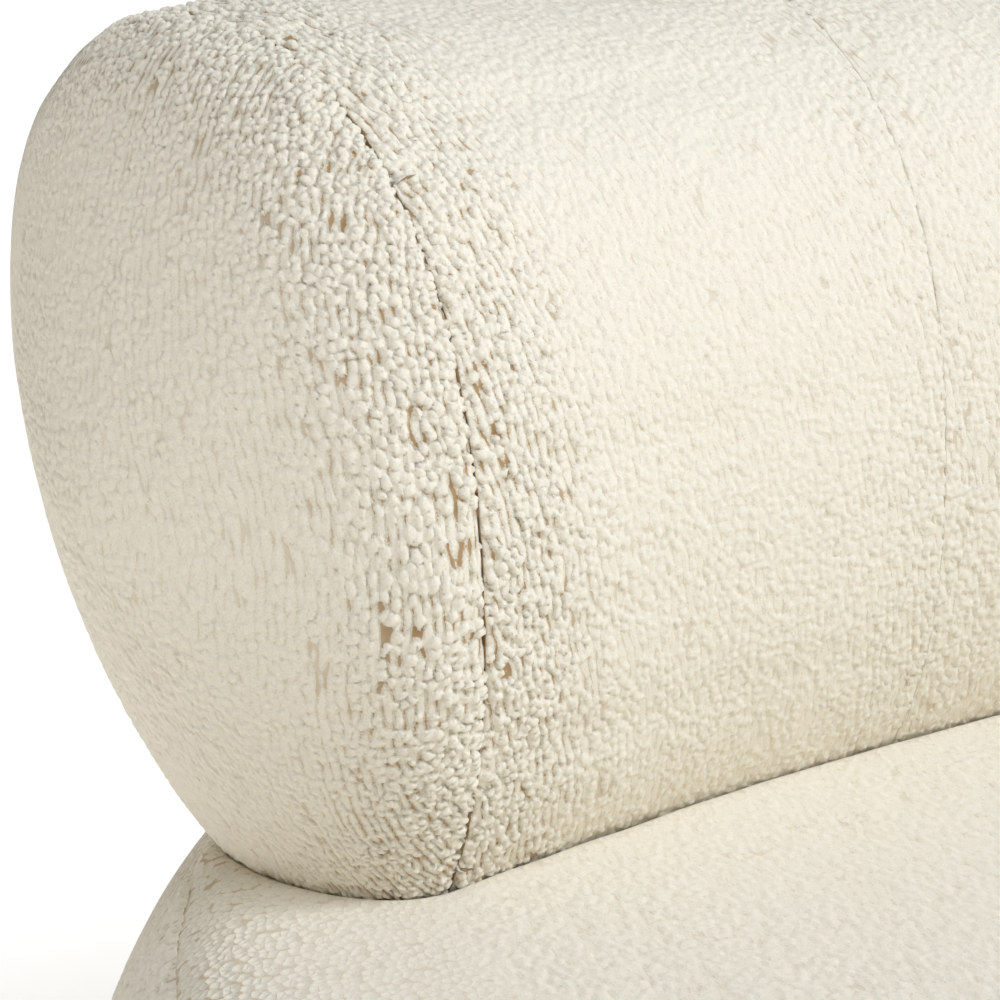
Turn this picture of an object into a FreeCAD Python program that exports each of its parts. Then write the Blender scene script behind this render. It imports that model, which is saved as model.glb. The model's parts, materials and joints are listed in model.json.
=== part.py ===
import FreeCAD, Part
import math
import os
from collections import namedtuple
from FreeCAD import Placement, Rotation, Vector
import Sketcher

# An armless curved sofa: a kidney-shaped seat block on six turned legs, and a plump
# egg-section back that follows the same curve and stands on the seat.
# Millimetres. +Z is up, the front is at -Y, and +X is to the right of someone facing it.
# The origin is the centre of the footprint, on the floor.
# Angles are in degrees, counted from +Y about the centre of curvature, positive to -X.

DIMENSIONS = {
    # plan
    "seat_radius": 1778, "end_radius": 485, "end_angle": 21.35,
    "back_radius": 2100, "back_angle": 30.7,
    # heights
    "glide_height": 4, "leg_top": 150, "seat_top": 430,
    # seat frame
    "cloth_thickness": 1.5, "rail_inset": 12, "rail_thickness": 25, "rail_height": 100,
    "cross_height": 60, "cross_thickness": 24, "splice_length": 136, "splice_height": 60,
    "splice_thickness": 15, "splice_clear": 8, "splice_lift": 4, "block_size": 90,
    "block_height": 60, "block_reach": 400,
    "block_spread": 55, "centre_front": 1378, "centre_rear": 2178, "cloth_inset": 5,
    # legs
    "leg_top_radius": 27.5, "leg_foot_radius": 17, "leg_edge": 2, "bolt_radius": 4,
    "bolt_bore": 4.2, "leg_bore_depth": 46, "bolt_reach": 22, "insert_radius": 6,
    "pin_radius": 1.8, "pin_bore": 2, "pin_length": 12, "glide_radius": 14,
    "glide_edge": 1.2, "insert_length": 20, "insert_slack": 0.2, "bolt_slack": 2,
    # springs
    "wire_radius": 1.9, "spring_half_width": 24, "spring_pitch": 28, "spring_tail": 34,
    "clip_width": 16, "clip_length": 18, "clip_height": 7, "clip_bore": 2.1,
    # seat upholstery
    "pad_bottom": 259, "pad_thickness": 6, "foam_inset": 48, "foam_top": 412,
    "wadding_top": 426.7, "cover": 3, "gap": 0.3, "side_bulge": 45, "foam_ease": 1.5,
    # back section
    "half_depth": 145, "half_height": 201, "squareness": 2.24, "lean": 0.245, "taper": 0.214,
    "section_centre": 172.6, "cap_bulge": 112,
    # back frame
    "board_front": 100, "board_rear": 16, "board_thickness": 18, "rib_thickness": 18,
    "rib_inset": 54, "rib_slack": 0.2, "stile_front": 70, "stile_rear": 0, "foot_height": 60,
    "stile_slack": 1, "lath_low": 175, "lath_high": 225, "lath_thickness": 20,
    "front_lath": 79, "rear_lath": 89, "top_lath_low": 298, "top_lath_front": -16,
    "top_lath_rear": 56, "stile_angle": 18.5, "end_rib_angle": 28.5,
    "fixing_low": 168, "fixing_high": 196, "fixing_reach": 2065, "fixing_bore": 4.5,
    "shank_radius": 4, "thread_reach": 12, "head_radius": 10, "head_height": 4,
    "washer_radius": 9, "washer_thickness": 1.6, "nut_radius": 7.5, "nut_height": 6.5,
    "nut_bore": 4.1,
    # back upholstery
    "wadding_inset": 3.3, "wadding_depth": 15, "foam_depth": 49, "gore_end": 7.7,
    "web_width": 40, "web_thickness": 1.5,
}

SECTION_POINTS = 24                 # points of the egg section's closed spline
WEB_PLACES = (-38, 42, 142, 180, 218)   # where the webbing lies round the section, degrees
SPRING_STEPS = (-5, -4, -3, -1, 0, 1, 3, 4, 5)      # places of the middle springs round the curve
SPRING_SHIFTS = (0, 100, 200, 290)  # places of the end springs, outward from the junction
CAP_SCALES = (1, 0.97, 0.88, 0.7, 0.45, 0.15)

Pivot = namedtuple("Pivot", "x y turn")

doc = FreeCAD.newDocument("curved_sofa")
nodes = []


class Size:
    """A value together with the spreadsheet expression that it comes from."""

    def __init__(self, value, text):
        self.value = value
        self.text = text

    def combine(self, sign, other, value):
        return Size(value, f"({self.text} {sign} {as_size(other).text})")

    def __add__(self, other):
        return self.combine("+", other, self.value + as_size(other).value)

    def __sub__(self, other):
        return self.combine("-", other, self.value - as_size(other).value)

    def __mul__(self, other):
        return self.combine("*", other, self.value * as_size(other).value)

    def __truediv__(self, other):
        return self.combine("/", other, self.value / as_size(other).value)

    def __neg__(self):
        return Size(-self.value, f"(0 - {self.text})")


def as_size(number):
    if isinstance(number, Size):
        return number
    return Size(float(number), f"{number:g}" if number >= 0 else f"(0 - {-number:g})")


def sine(angle):
    return Size(math.sin(math.radians(angle.value)), f"sin({angle.text})")


def cosine(angle):
    return Size(math.cos(math.radians(angle.value)), f"cos({angle.text})")


def section_point(turn, inset, scale=1.0):
    """A point of the back's egg section: squarish, leaning back, thicker toward the top."""
    power = 2 / DIMENSIONS["squareness"]
    along, across = math.sin(turn), math.cos(turn)
    rise = math.copysign(abs(along) ** power, along)
    spread = math.copysign(abs(across) ** power, across)
    half_height = DIMENSIONS["half_height"] - inset
    half_depth = (DIMENSIONS["half_depth"] - inset) * (1 + DIMENSIONS["taper"] * rise)
    depth = half_depth * spread - DIMENSIONS["lean"] * half_height * rise
    height = DIMENSIONS["seat_top"] + DIMENSIONS["section_centre"] + half_height * rise * scale
    return Vector(0, DIMENSIONS["back_radius"] - depth * scale, height)


def plan_centre():
    """Y of the centre of curvature that puts the footprint's middle on the origin."""
    reach = DIMENSIONS["end_radius"] + DIMENSIONS["side_bulge"]
    rear = DIMENSIONS["seat_radius"] + reach
    front = DIMENSIONS["seat_radius"] * math.cos(math.radians(DIMENSIONS["end_angle"])) - reach
    return -round((rear + front) / 2, 2)


def fill_sheet():
    sheet = doc.addObject("Spreadsheet::Sheet", "dims")
    values = dict(DIMENSIONS, centre_y=plan_centre())
    for row, (name, value) in enumerate(values.items(), 1):
        sheet.set(f"A{row}", name)
        sheet.set(f"B{row}", f"{value:g}")
        sheet.setAlias(f"B{row}", name)
    doc.recompute()
    return {name: Size(value, f"dims.{name}") for name, value in values.items()}


D = fill_sheet()

rear_radius = D["seat_radius"] + D["end_radius"]
front_radius = D["seat_radius"] - D["end_radius"]
rail_bottom = D["leg_top"] + D["cloth_thickness"]
rail_top = rail_bottom + D["rail_height"]
rail_outside = rear_radius - D["rail_inset"]
rail_inside = front_radius + D["rail_inset"]
seat_floor = D["seat_top"] + D["gap"]           # where the back's underside lies
board_bottom = seat_floor + D["cloth_thickness"] + D["rib_slack"]
board_top = board_bottom + D["board_thickness"]
end_turn = D["end_angle"] + 90

ARC = Pivot(as_size(0), D["centre_y"], as_size(0))
end_x = D["seat_radius"] * sine(D["end_angle"])
end_y = D["centre_y"] + D["seat_radius"] * cosine(D["end_angle"])
LEFT = Pivot(-end_x, end_y, end_turn)
RIGHT = Pivot(end_x, end_y, -end_turn)


# ---------------------------------------------------------------- helpers

def stand(item, pivot, reach=0, turn=0, across=0, height=0):
    """Places an item at a polar position about a pivot, all bound to the sheet."""
    total = pivot.turn + turn
    x = pivot.x - sine(total) * reach + cosine(total) * across
    y = pivot.y + cosine(total) * reach + sine(total) * across
    z = as_size(height)
    item.Placement = Placement(Vector(x.value, y.value, z.value),
                               Rotation(Vector(0, 0, 1), total.value))
    item.setExpression("Placement.Base.x", x.text)
    item.setExpression("Placement.Base.y", y.text)
    item.setExpression("Placement.Base.z", z.text)
    item.setExpression("Placement.Rotation.Angle", total.text)
    return item


def add(kind, name, **sizes):
    """A document object whose properties are bound to the sheet."""
    item = doc.addObject(kind, name)
    for prop, size in sizes.items():
        item.setExpression(prop, as_size(size).text)
    return item


def boolean(kind, name, *items):
    """A cut of two shapes, or a fusion of several."""
    item = doc.addObject(kind, name)
    if kind == "Part::Cut":
        item.Base, item.Tool = items
    else:
        item.Shapes = list(items)
    item.Refine = True
    return item


def feature(name, shape):
    item = doc.addObject("Part::Feature", name)
    item.Shape = shape
    return item


def node(item, label):
    """Marks an object as one of the sofa's pieces and gives it its name."""
    item.Label = label
    nodes.append(item)
    return item


def sketch_on(body, role, name):
    sketch = body.newObject("Sketcher::SketchObject", name)
    plane = next(item for item in body.Origin.OriginFeatures if item.Role == role)
    sketch.AttachmentSupport = [(plane, "")]
    sketch.MapMode = "FlatFace"
    return sketch


def constrain(sketch, name, size, *place):
    index = sketch.addConstraint(Sketcher.Constraint(*place, as_size(size).value))
    sketch.renameConstraint(index, name)
    sketch.setExpression(f"Constraints.{name}", as_size(size).text)


def draw_outline(sketch, corners):
    """A closed outline. Each corner is (across, up) or, with an arc to the next
    corner, (across, up, bulge), the arc standing out by bulge along the first axis."""
    corners = [tuple(as_size(size) for size in corner) for corner in corners]
    points = [Vector(corner[0].value, corner[1].value, 0) for corner in corners]
    first = sketch.GeometryCount
    for index, corner in enumerate(corners):
        start, end = points[index], points[(index + 1) % len(points)]
        if len(corner) == 2:
            sketch.addGeometry(Part.LineSegment(start, end), False)
            continue
        middle = (start + end) / 2 + Vector(corner[2].value, 0, 0)
        arc = Part.Arc(start, middle, end)
        sketch.addGeometry(arc, False)
        half = (corners[(index + 1) % len(corners)][1] - corner[1]) / 2
        bulge = corner[2]
        radius = (half * half + bulge * bulge) / (bulge * math.copysign(2, bulge.value))
        constrain(sketch, f"arc{index}", radius, "Radius", first + index)
    ends = [arc_ends(sketch, first + index, point) for index, point in enumerate(points)]
    for index, corner in enumerate(corners):
        here, there = first + index, first + (index + 1) % len(corners)
        sketch.addConstraint(Sketcher.Constraint("Coincident", here, 3 - ends[index],
                                                 there, ends[(index + 1) % len(corners)]))
        for axis, number, size in (("DistanceX", -2, corner[0]), ("DistanceY", -1, corner[1])):
            if size.value == 0:
                place = Sketcher.Constraint("PointOnObject", here, ends[index], number)
                sketch.addConstraint(place)
            else:
                constrain(sketch, f"{axis}{index}", size, axis, -1, 1, here, ends[index])


def arc_ends(sketch, index, point):
    """Which end, 1 or 2, of a sketch edge lies at a point."""
    return 1 if sketch.getPoint(index, 1).distanceToPoint(point) < 1e-6 else 2


def draw_circle(sketch, name, across, up, radius):
    across, up, radius = as_size(across), as_size(up), as_size(radius)
    circle = Part.Circle(Vector(across.value, up.value, 0), Vector(0, 0, 1), radius.value)
    index = sketch.addGeometry(circle, False)
    constrain(sketch, name + "_radius", radius, "Radius", index)
    for axis, line, size in (("DistanceX", -2, across), ("DistanceY", -1, up)):
        if size.value == 0:
            sketch.addConstraint(Sketcher.Constraint("PointOnObject", index, 3, line))
        else:
            constrain(sketch, f"{name}_{axis}", size, axis, -1, 1, index, 3)


def turned_body(name, corners, sweep=360):
    """A body made by turning an outline (radius, height) about the vertical axis."""
    body = doc.addObject("PartDesign::Body", name)
    sketch = sketch_on(body, "YZ_Plane", name + "_outline")
    draw_outline(sketch, corners)
    turned = body.newObject("PartDesign::Revolution", name + "_turned")
    turned.Profile = sketch
    turned.ReferenceAxis = (sketch, ["V_Axis"])
    turned.Midplane = True
    turned.setExpression("Angle", as_size(sweep).text)
    return body


def padded_body(name, role, corners, holes, thickness, midplane):
    """A body made by thickening an outline with round holes (across, up, radius)."""
    body = doc.addObject("PartDesign::Body", name)
    sketch = sketch_on(body, role, name + "_outline")
    draw_outline(sketch, corners)
    for number, hole in enumerate(holes):
        draw_circle(sketch, f"hole{number}", *hole)
    pad = body.newObject("PartDesign::Pad", name + "_pad")
    pad.Profile = sketch
    pad.SideType = "Symmetric" if midplane else "One side"
    pad.setExpression("Length", as_size(thickness).text)
    return body


def rectangle(left, right, low, high):
    return [(left, low), (right, low), (right, high), (left, high)]


def kidney(name, reach, bottom, top):
    """A slab with the seat's outline, standing reach outside the seam line."""
    height = as_size(top) - bottom
    disc = add("Part::Cylinder", name + "_disc", Radius=rear_radius + reach, Height=height,
               Angle=D["end_angle"] * 2)
    stand(disc, ARC, turn=as_size(90) - D["end_angle"], height=bottom)
    bay = add("Part::Cylinder", name + "_bay", Radius=front_radius - reach, Height=height)
    stand(bay, ARC, height=bottom)
    ends = []
    for pivot, side in ((LEFT, "_left"), (RIGHT, "_right")):
        end = add("Part::Cylinder", name + side, Radius=D["end_radius"] + reach,
                  Height=height, Angle=180)
        ends.append(stand(end, pivot, height=bottom))
    band = boolean("Part::Cut", name + "_band", disc, bay)
    return boolean("Part::MultiFuse", name, band, *ends)


def stile_slots(name, bottom, top):
    """The openings that the back's stiles pass through."""
    depth = D["stile_front"] - D["stile_rear"] + D["stile_slack"] * 2
    width = D["rib_thickness"] + D["stile_slack"] * 2
    boxes = []
    for number, turn in enumerate(stile_turns()):
        box = add("Part::Box", f"{name}_slot{number}", Length=width, Width=depth,
                  Height=as_size(top) - bottom)
        reach = D["back_radius"] - D["stile_front"] - D["stile_slack"]
        boxes.append(stand(box, ARC, reach=reach, turn=turn, across=-width / 2, height=bottom))
    return boolean("Part::MultiFuse", name + "_slots", *boxes)


def stile_turns():
    """The four places round the curve where a rib runs down into the seat."""
    return [D["stile_angle"] * factor for factor in (1, 1 / 3, -1 / 3, -1)]


def slotted_kidney(label, reach, bottom, top):
    slab = kidney(label + "_slab", reach, bottom, top)
    slots = stile_slots(label, as_size(bottom) - 1, as_size(top) + 1)
    return node(boolean("Part::Cut", label, slab, slots), label)


def seat_band(label, corners):
    """An outline (outward, up[, bulge]) carried all round the seat's plan."""
    def shifted(radius, sign):
        return [(as_size(corner[0]) * sign + radius, *(size if place == 0 else
                as_size(size) * sign for place, size in enumerate(corner[1:])))
                for corner in corners]
    pieces = []
    for side, pivot, radius, sign, sweep in (
            ("_rear", ARC, rear_radius, 1, D["end_angle"] * 2),
            ("_front", ARC, front_radius, -1, D["end_angle"] * 2),
            ("_left", LEFT, D["end_radius"], 1, 180),
            ("_right", RIGHT, D["end_radius"], 1, 180)):
        pieces.append(stand(turned_body(label + side, shifted(radius, sign), sweep), pivot))
    return node(boolean("Part::MultiFuse", label, *pieces), label)


def copies(label, master, placements):
    """One piece with all the identical solids of a set, such as bolts."""
    solids = []
    for placement in placements:
        solid = master.copy()
        solid.Placement = placement
        solids.append(solid)
    return node(feature(label, Part.makeCompound(solids)), label)


def polar(pivot, reach, turn=0.0, across=0.0, height=0.0):
    """A plain placement at a polar position about a pivot."""
    total = pivot.turn.value + turn
    rotation = Rotation(Vector(0, 0, 1), total)
    base = rotation.multVec(Vector(across, reach, 0))
    return Placement(base + Vector(pivot.x.value, pivot.y.value, height), rotation)


# ---------------------------------------------------------------- seat frame

def seat_frame():
    curve = D["end_angle"] * 2
    thickness = D["rail_thickness"]
    stand(node(turned_body("seat_rear_rail", rectangle(
        rail_outside - thickness, rail_outside, rail_bottom, rail_top), curve),
        "seat_rear_rail"), ARC)
    stand(node(turned_body("seat_front_rail", rectangle(
        rail_inside, rail_inside + thickness, rail_bottom, rail_top), curve),
        "seat_front_rail"), ARC)
    outside = D["end_radius"] - D["rail_inset"]
    for side, pivot in (("left", LEFT), ("right", RIGHT)):
        label = f"seat_end_rail_{side}"
        stand(node(turned_body(label, rectangle(
            outside - thickness, outside, rail_bottom, rail_top), 180), label), pivot)


def cross_rails():
    """Four joists between the rails, each bolted beside a stile of the back."""
    front = rail_inside + D["rail_thickness"] + D["gap"]
    rear = rail_outside - D["rail_thickness"] - D["gap"] * 2
    holes = [(D["fixing_reach"], height, D["fixing_bore"])
             for height in (D["fixing_low"], D["fixing_high"])]
    aside = (D["rib_thickness"] + D["cross_thickness"]) / 2 + D["rib_slack"]
    for number, turn in enumerate(stile_turns(), 1):
        label = f"seat_cross_rail_{number}"
        body = padded_body(label, "YZ_Plane", rectangle(
            front, rear, rail_bottom, rail_bottom + D["cross_height"]), holes,
            D["cross_thickness"], True)
        inward = aside if turn.value > 0 else -aside
        stand(node(body, label), ARC, turn=turn, across=inward)


def rail_splices():
    """Ply plates glued inside the four joints between the straight-run and end rails."""
    size = (D["splice_length"].value, D["splice_thickness"].value, D["splice_height"].value)
    plate = Part.makeBox(*size, Vector(-size[0] / 2, 0, 0))
    clear = D["rail_thickness"].value + D["splice_clear"].value
    front = rail_inside.value + clear
    rear = rail_outside.value - clear - size[1]
    turns = (D["end_angle"].value, -D["end_angle"].value)
    height = rail_bottom.value + D["splice_lift"].value
    copies("seat_rail_splices", plate,
           [polar(ARC, reach, turn, 0, height) for turn in turns for reach in (front, rear)])


def leg_places():
    """Name, pivot, reach and turn of each leg."""
    spread = D["block_spread"]
    reach = D["block_reach"]
    return (
        ("front_left", LEFT, reach, spread), ("rear_left", LEFT, reach, -spread),
        ("front_centre", ARC, D["centre_front"], 0), ("rear_centre", ARC, D["centre_rear"], 0),
        ("front_right", RIGHT, reach, -spread), ("rear_right", RIGHT, reach, spread))


def legs():
    """Turned, tapered legs, each screwed up into a hardwood block inside the rails."""
    half = D["block_size"] / 2
    glide, top, edge = D["glide_height"], D["leg_top"], D["leg_edge"]
    foot, head = D["leg_foot_radius"], D["leg_top_radius"]
    profile = [
        (D["pin_bore"], glide), (foot - edge, glide), (foot, glide + edge),
        (head, top - edge), (head - edge, top), (D["bolt_bore"], top),
        (D["bolt_bore"], top - D["leg_bore_depth"]), (0, top - D["leg_bore_depth"]),
        (0, glide + D["pin_length"] + 1), (D["pin_bore"], glide + D["pin_length"] + 1)]
    for name, pivot, reach, turn in leg_places():
        block = padded_body(f"leg_block_{name}", "XY_Plane", rectangle(-half, half, -half, half),
                            [(0, 0, D["insert_radius"] + D["insert_slack"])], D["block_height"], False)
        stand(node(block, f"leg_block_{name}"), pivot, reach, turn, height=rail_bottom)
        leg = turned_body(f"leg_{name}", profile)
        stand(node(leg, f"leg_{name}"), pivot, reach, turn)


def leg_hardware():
    """Bolts, threaded inserts and floor glides of the six legs."""
    places = [(pivot, reach.value, turn if turn == 0 else turn.value)
              for _, pivot, reach, turn in leg_places()]
    depth = D["leg_bore_depth"].value - D["bolt_slack"].value
    bolt = Part.makeCylinder(D["bolt_radius"].value, depth + D["bolt_reach"].value)
    copies("leg_bolts", bolt, [polar(*place, 0, D["leg_top"].value - depth) for place in places])
    length = D["insert_length"].value
    insert = Part.makeCylinder(D["insert_radius"].value, length).cut(
        Part.makeCylinder(D["bolt_bore"].value, length))
    copies("leg_inserts", insert, [polar(*place, 0, rail_bottom.value) for place in places])
    glide = D["glide_height"].value
    disc = Part.makeCylinder(D["glide_radius"].value, glide)
    disc = disc.makeFillet(D["glide_edge"].value, [disc.Edges[2]])
    pin = Part.makeCylinder(D["pin_radius"].value, D["pin_length"].value, Vector(0, 0, glide))
    copies("leg_glides", disc.fuse(pin), [polar(*place) for place in places])


# ---------------------------------------------------------------- springs

def spring(length):
    """A flat zigzag of wire along Y: a tail, bars joined by half turns, and a tail."""
    tail, half = D["spring_tail"].value, D["spring_half_width"].value
    bars = 2 * round((length - 2 * tail) / D["spring_pitch"].value / 2) + 1
    pitch = (length - 2 * tail) / bars
    radius = pitch / 2
    reach = half - radius
    edges = [Part.LineSegment(Vector(0, 0, 0), Vector(0, tail, 0)).toShape()]

    def arc(centre, start, end):
        """An arc about centre between two angles in degrees."""
        points = [centre + Vector(math.cos(math.radians(a)), math.sin(math.radians(a)), 0)
                  * radius for a in (start, (start + end) / 2, end)]
        edges.append(Part.Arc(*points).toShape())
        return points[2]

    here = arc(Vector(radius, tail, 0), 180, 90)
    for bar in range(bars):
        side = 1 if bar % 2 == 0 else -1
        last = bar == bars - 1
        corner = Vector(-side * radius if last else side * reach, here.y, 0)
        edges.append(Part.LineSegment(here, corner).toShape())
        if last:
            break
        here = arc(corner + Vector(0, radius, 0), -90, 90 if side > 0 else -270)
    arc(corner + Vector(0, radius, 0), -90, 0 if corner.x < 0 else -180)
    end = Vector(0, tail + pitch * bars, 0)
    edges.append(Part.LineSegment(end, end + Vector(0, tail, 0)).toShape())
    path = Part.Wire(edges)
    ring = Part.Wire([Part.makeCircle(D["wire_radius"].value, Vector(0, 0, 0), Vector(0, 1, 0))])
    return path.makePipeShell([ring], True, False)


def spring_places():
    """Pivot, turn, sideways shift, start and length of each spring."""
    middle = D["rail_thickness"].value / 2
    front = rail_inside.value + middle
    rear = rail_outside.value - middle
    step = D["stile_angle"].value / 6
    places = [(ARC, step * number, 0, front, rear - front) for number in SPRING_STEPS]
    radius = D["end_radius"].value - D["rail_inset"].value - middle
    for pivot, turn in ((LEFT, D["end_angle"].value), (RIGHT, -D["end_angle"].value)):
        for shift in SPRING_SHIFTS:
            half = math.sqrt(radius ** 2 - shift ** 2)
            aside = -shift if pivot is LEFT else shift
            places.append((Pivot(pivot.x, pivot.y, as_size(0)), turn, aside, -half, 2 * half))
    return places


def springs():
    """Zigzag springs from the front rail to the rear rail, each end in a clip."""
    height = rail_top.value + D["clip_height"].value / 2
    solids = []
    clips = []
    made = {}
    for pivot, turn, aside, start, length in spring_places():
        key = round(length, 3)
        if key not in made:
            made[key] = spring(length)
        solid = made[key].copy()
        solid.Placement = polar(pivot, start, turn, aside, height)
        solids.append(solid)
        clips += [polar(pivot, start, turn, aside, rail_top.value),
                  polar(pivot, start + length, turn, aside, rail_top.value)]
    node(feature("seat_springs", Part.makeCompound(solids)), "seat_springs")
    width, length, high = (D[name].value for name in ("clip_width", "clip_length", "clip_height"))
    clip = Part.makeBox(width, length, high, Vector(-width / 2, -length / 2, 0))
    bore = Part.makeCylinder(D["clip_bore"].value, length * 2, Vector(0, -length, high / 2),
                             Vector(0, 1, 0))
    copies("spring_clips", clip.cut(bore), clips)


# ---------------------------------------------------------------- seat upholstery

def seat_upholstery():
    cloth = kidney("dust_cloth", -D["cloth_inset"], D["leg_top"], rail_bottom)
    holes = []
    for number, (_, pivot, reach, turn) in enumerate(leg_places()):
        hole = add("Part::Cylinder", f"cloth_hole{number}", Radius=D["bolt_radius"] + 2,
                   Height=D["cloth_thickness"] + 2)
        holes.append(stand(hole, pivot, reach, turn, height=D["leg_top"] - 1))
    node(boolean("Part::Cut", "dust_cover", cloth, boolean(
        "Part::MultiFuse", "cloth_holes", *holes)), "dust_cover")
    pad_top = D["pad_bottom"] + D["pad_thickness"]
    slotted_kidney("spring_pad", -(D["rail_inset"] + 2), D["pad_bottom"], pad_top)
    slotted_kidney("seat_foam", -(D["foam_inset"] + D["gap"]), pad_top + D["gap"], D["foam_top"])
    edge = -(D["cover"] + D["gap"])
    slotted_kidney("seat_wadding", edge, D["foam_top"] + D["gap"], D["wadding_top"])
    slotted_kidney("seat_top_cover", as_size(0), D["wadding_top"] + D["gap"], D["seat_top"])
    low, bulge = rail_bottom + D["gap"], D["side_bulge"]
    step = pad_top + D["gap"]
    rail_face = -(D["rail_inset"] - D["gap"])
    seat_band("side_foam", [
        (edge, low, bulge - D["foam_ease"]), (edge, D["foam_top"]), (-D["foam_inset"], D["foam_top"]),
        (-D["foam_inset"], step), (rail_face, step), (rail_face, low)])
    seat_band("seat_side_band", [
        (as_size(0), D["leg_top"], bulge), (as_size(0), D["wadding_top"]),
        (-D["cover"], D["wadding_top"], bulge), (-D["cover"], D["leg_top"])])


# ---------------------------------------------------------------- back frame

def section_face(inset, scale=1.0, shift=0.0):
    points = [section_point(2 * math.pi * step / SECTION_POINTS, inset, scale)
              for step in range(SECTION_POINTS)]
    curve = Part.BSplineCurve()
    curve.interpolate(Points=[point + Vector(shift, 0, 0) for point in points],
                      PeriodicFlag=True)
    return Part.Face(Part.Wire([curve.toShape()]))


def plate(rear, front, low, high):
    """A rectangle in the section's plane; rear and front are distances toward the front."""
    radius = D["back_radius"].value
    corners = [Vector(0, radius - depth, height) for depth, height in
               ((rear, low), (front, low), (front, high), (rear, high), (rear, low))]
    return Part.Face(Part.makePolygon(corners))


def below(height):
    return plate(-400, 400, 0, height)


def carried(label, face, sweep, turn=0):
    """A section carried round the curve through an angle."""
    profile = feature(label + "_profile", face)
    item = doc.addObject("Part::Revolution", label)
    item.Source = profile
    item.Axis = Vector(0, 0, 1)
    item.Base = Vector(0, 0, 0)
    item.Symmetric = True
    item.Solid = True
    item.setExpression("Angle", as_size(sweep).text)
    return stand(item, ARC, turn=turn)


def laths():
    """The three lengthwise members: label, rear, front, low and high of the section."""
    seat, thick = D["seat_top"].value, D["lath_thickness"].value
    low, high = seat + D["lath_low"].value, seat + D["lath_high"].value
    front, rear = D["front_lath"].value, -D["rear_lath"].value
    top = seat + D["top_lath_low"].value
    return (("back_front_lath", front - thick, front, low, high),
            ("back_rear_lath", rear, rear + thick, low, high),
            ("back_top_rail", -D["top_lath_rear"].value, D["top_lath_front"].value, top,
             top + thick))


def rib_face(foot_low):
    """A former's outline with its foot, notched for the lengthwise members."""
    rear, front = D["stile_rear"].value, D["stile_front"].value
    high = board_top.value + D["foot_height"].value
    upper = section_face(D["rib_inset"].value).cut(below(board_top.value + 2))
    face = upper.fuse(plate(rear, front, foot_low, high)).removeSplitter()
    slack = D["rib_slack"].value
    for _, back, fore, low, high in laths():
        face = face.cut(plate(back - slack, fore + slack, low - slack, high + slack))
    if foot_low < rail_top.value:
        for height in (D["fixing_low"], D["fixing_high"]):
            hole = Part.Wire([Part.makeCircle(D["fixing_bore"].value, Vector(
                0, D["fixing_reach"].value, height.value), Vector(1, 0, 0))])
            face = face.cut(Part.Face(hole))
    return face.Faces[0]


def back_frame():
    board = turned_body("board_blank", rectangle(
        D["back_radius"] - D["board_front"], D["back_radius"] + D["board_rear"],
        board_bottom, board_top), D["back_angle"] * 2)
    stand(board, ARC)
    slots = stile_slots("board", board_bottom - 1, board_top + 1)
    node(boolean("Part::Cut", "back_base_board", board, slots), "back_base_board")
    long_rib = rib_face(rail_bottom.value + D["rib_slack"].value)
    short_rib = rib_face(board_top.value + D["rib_slack"].value)
    turns = [D["end_rib_angle"]] + stile_turns() + [-D["end_rib_angle"]]
    for number, turn in enumerate(turns, 1):
        label = f"back_rib_{number}"
        face = long_rib if 1 < number < len(turns) else short_rib
        rib = doc.addObject("Part::Extrusion", label)
        rib.Base = feature(label + "_outline", face)
        rib.DirMode = "Custom"
        rib.Dir = Vector(1, 0, 0)
        rib.Symmetric = True
        rib.Solid = True
        rib.setExpression("LengthFwd", D["rib_thickness"].text)
        stand(node(rib, label), ARC, turn=turn)
    for label, back, fore, low, high in laths():
        node(carried(label, plate(back, fore, low, high), D["end_rib_angle"] * 2 + 2), label)


def back_webbing():
    """Bands of webbing stretched over the ribs, front and rear."""
    half, thick = D["web_width"].value / 2, D["web_thickness"].value
    inset = D["rib_inset"].value - 0.4
    bands = []
    for number, place in enumerate(WEB_PLACES):
        turn = math.radians(place)
        middle = section_point(turn, inset)
        along = (section_point(turn + 0.01, inset) - section_point(turn - 0.01, inset)).normalize()
        out = Vector(0, along.z, -along.y)
        if out.dot(middle - Vector(0, D["back_radius"].value, middle.z)) < 0:
            out = -out
        corners = [middle + along * half, middle - along * half,
                   middle - along * half + out * thick, middle + along * half + out * thick]
        face = Part.Face(Part.makePolygon(corners + corners[:1]))
        bands.append(carried(f"web_band{number}", face, D["end_rib_angle"] * 2 + 1))
    group = doc.addObject("Part::Compound", "back_webbing")
    group.Links = bands
    node(group, "back_webbing")


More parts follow.
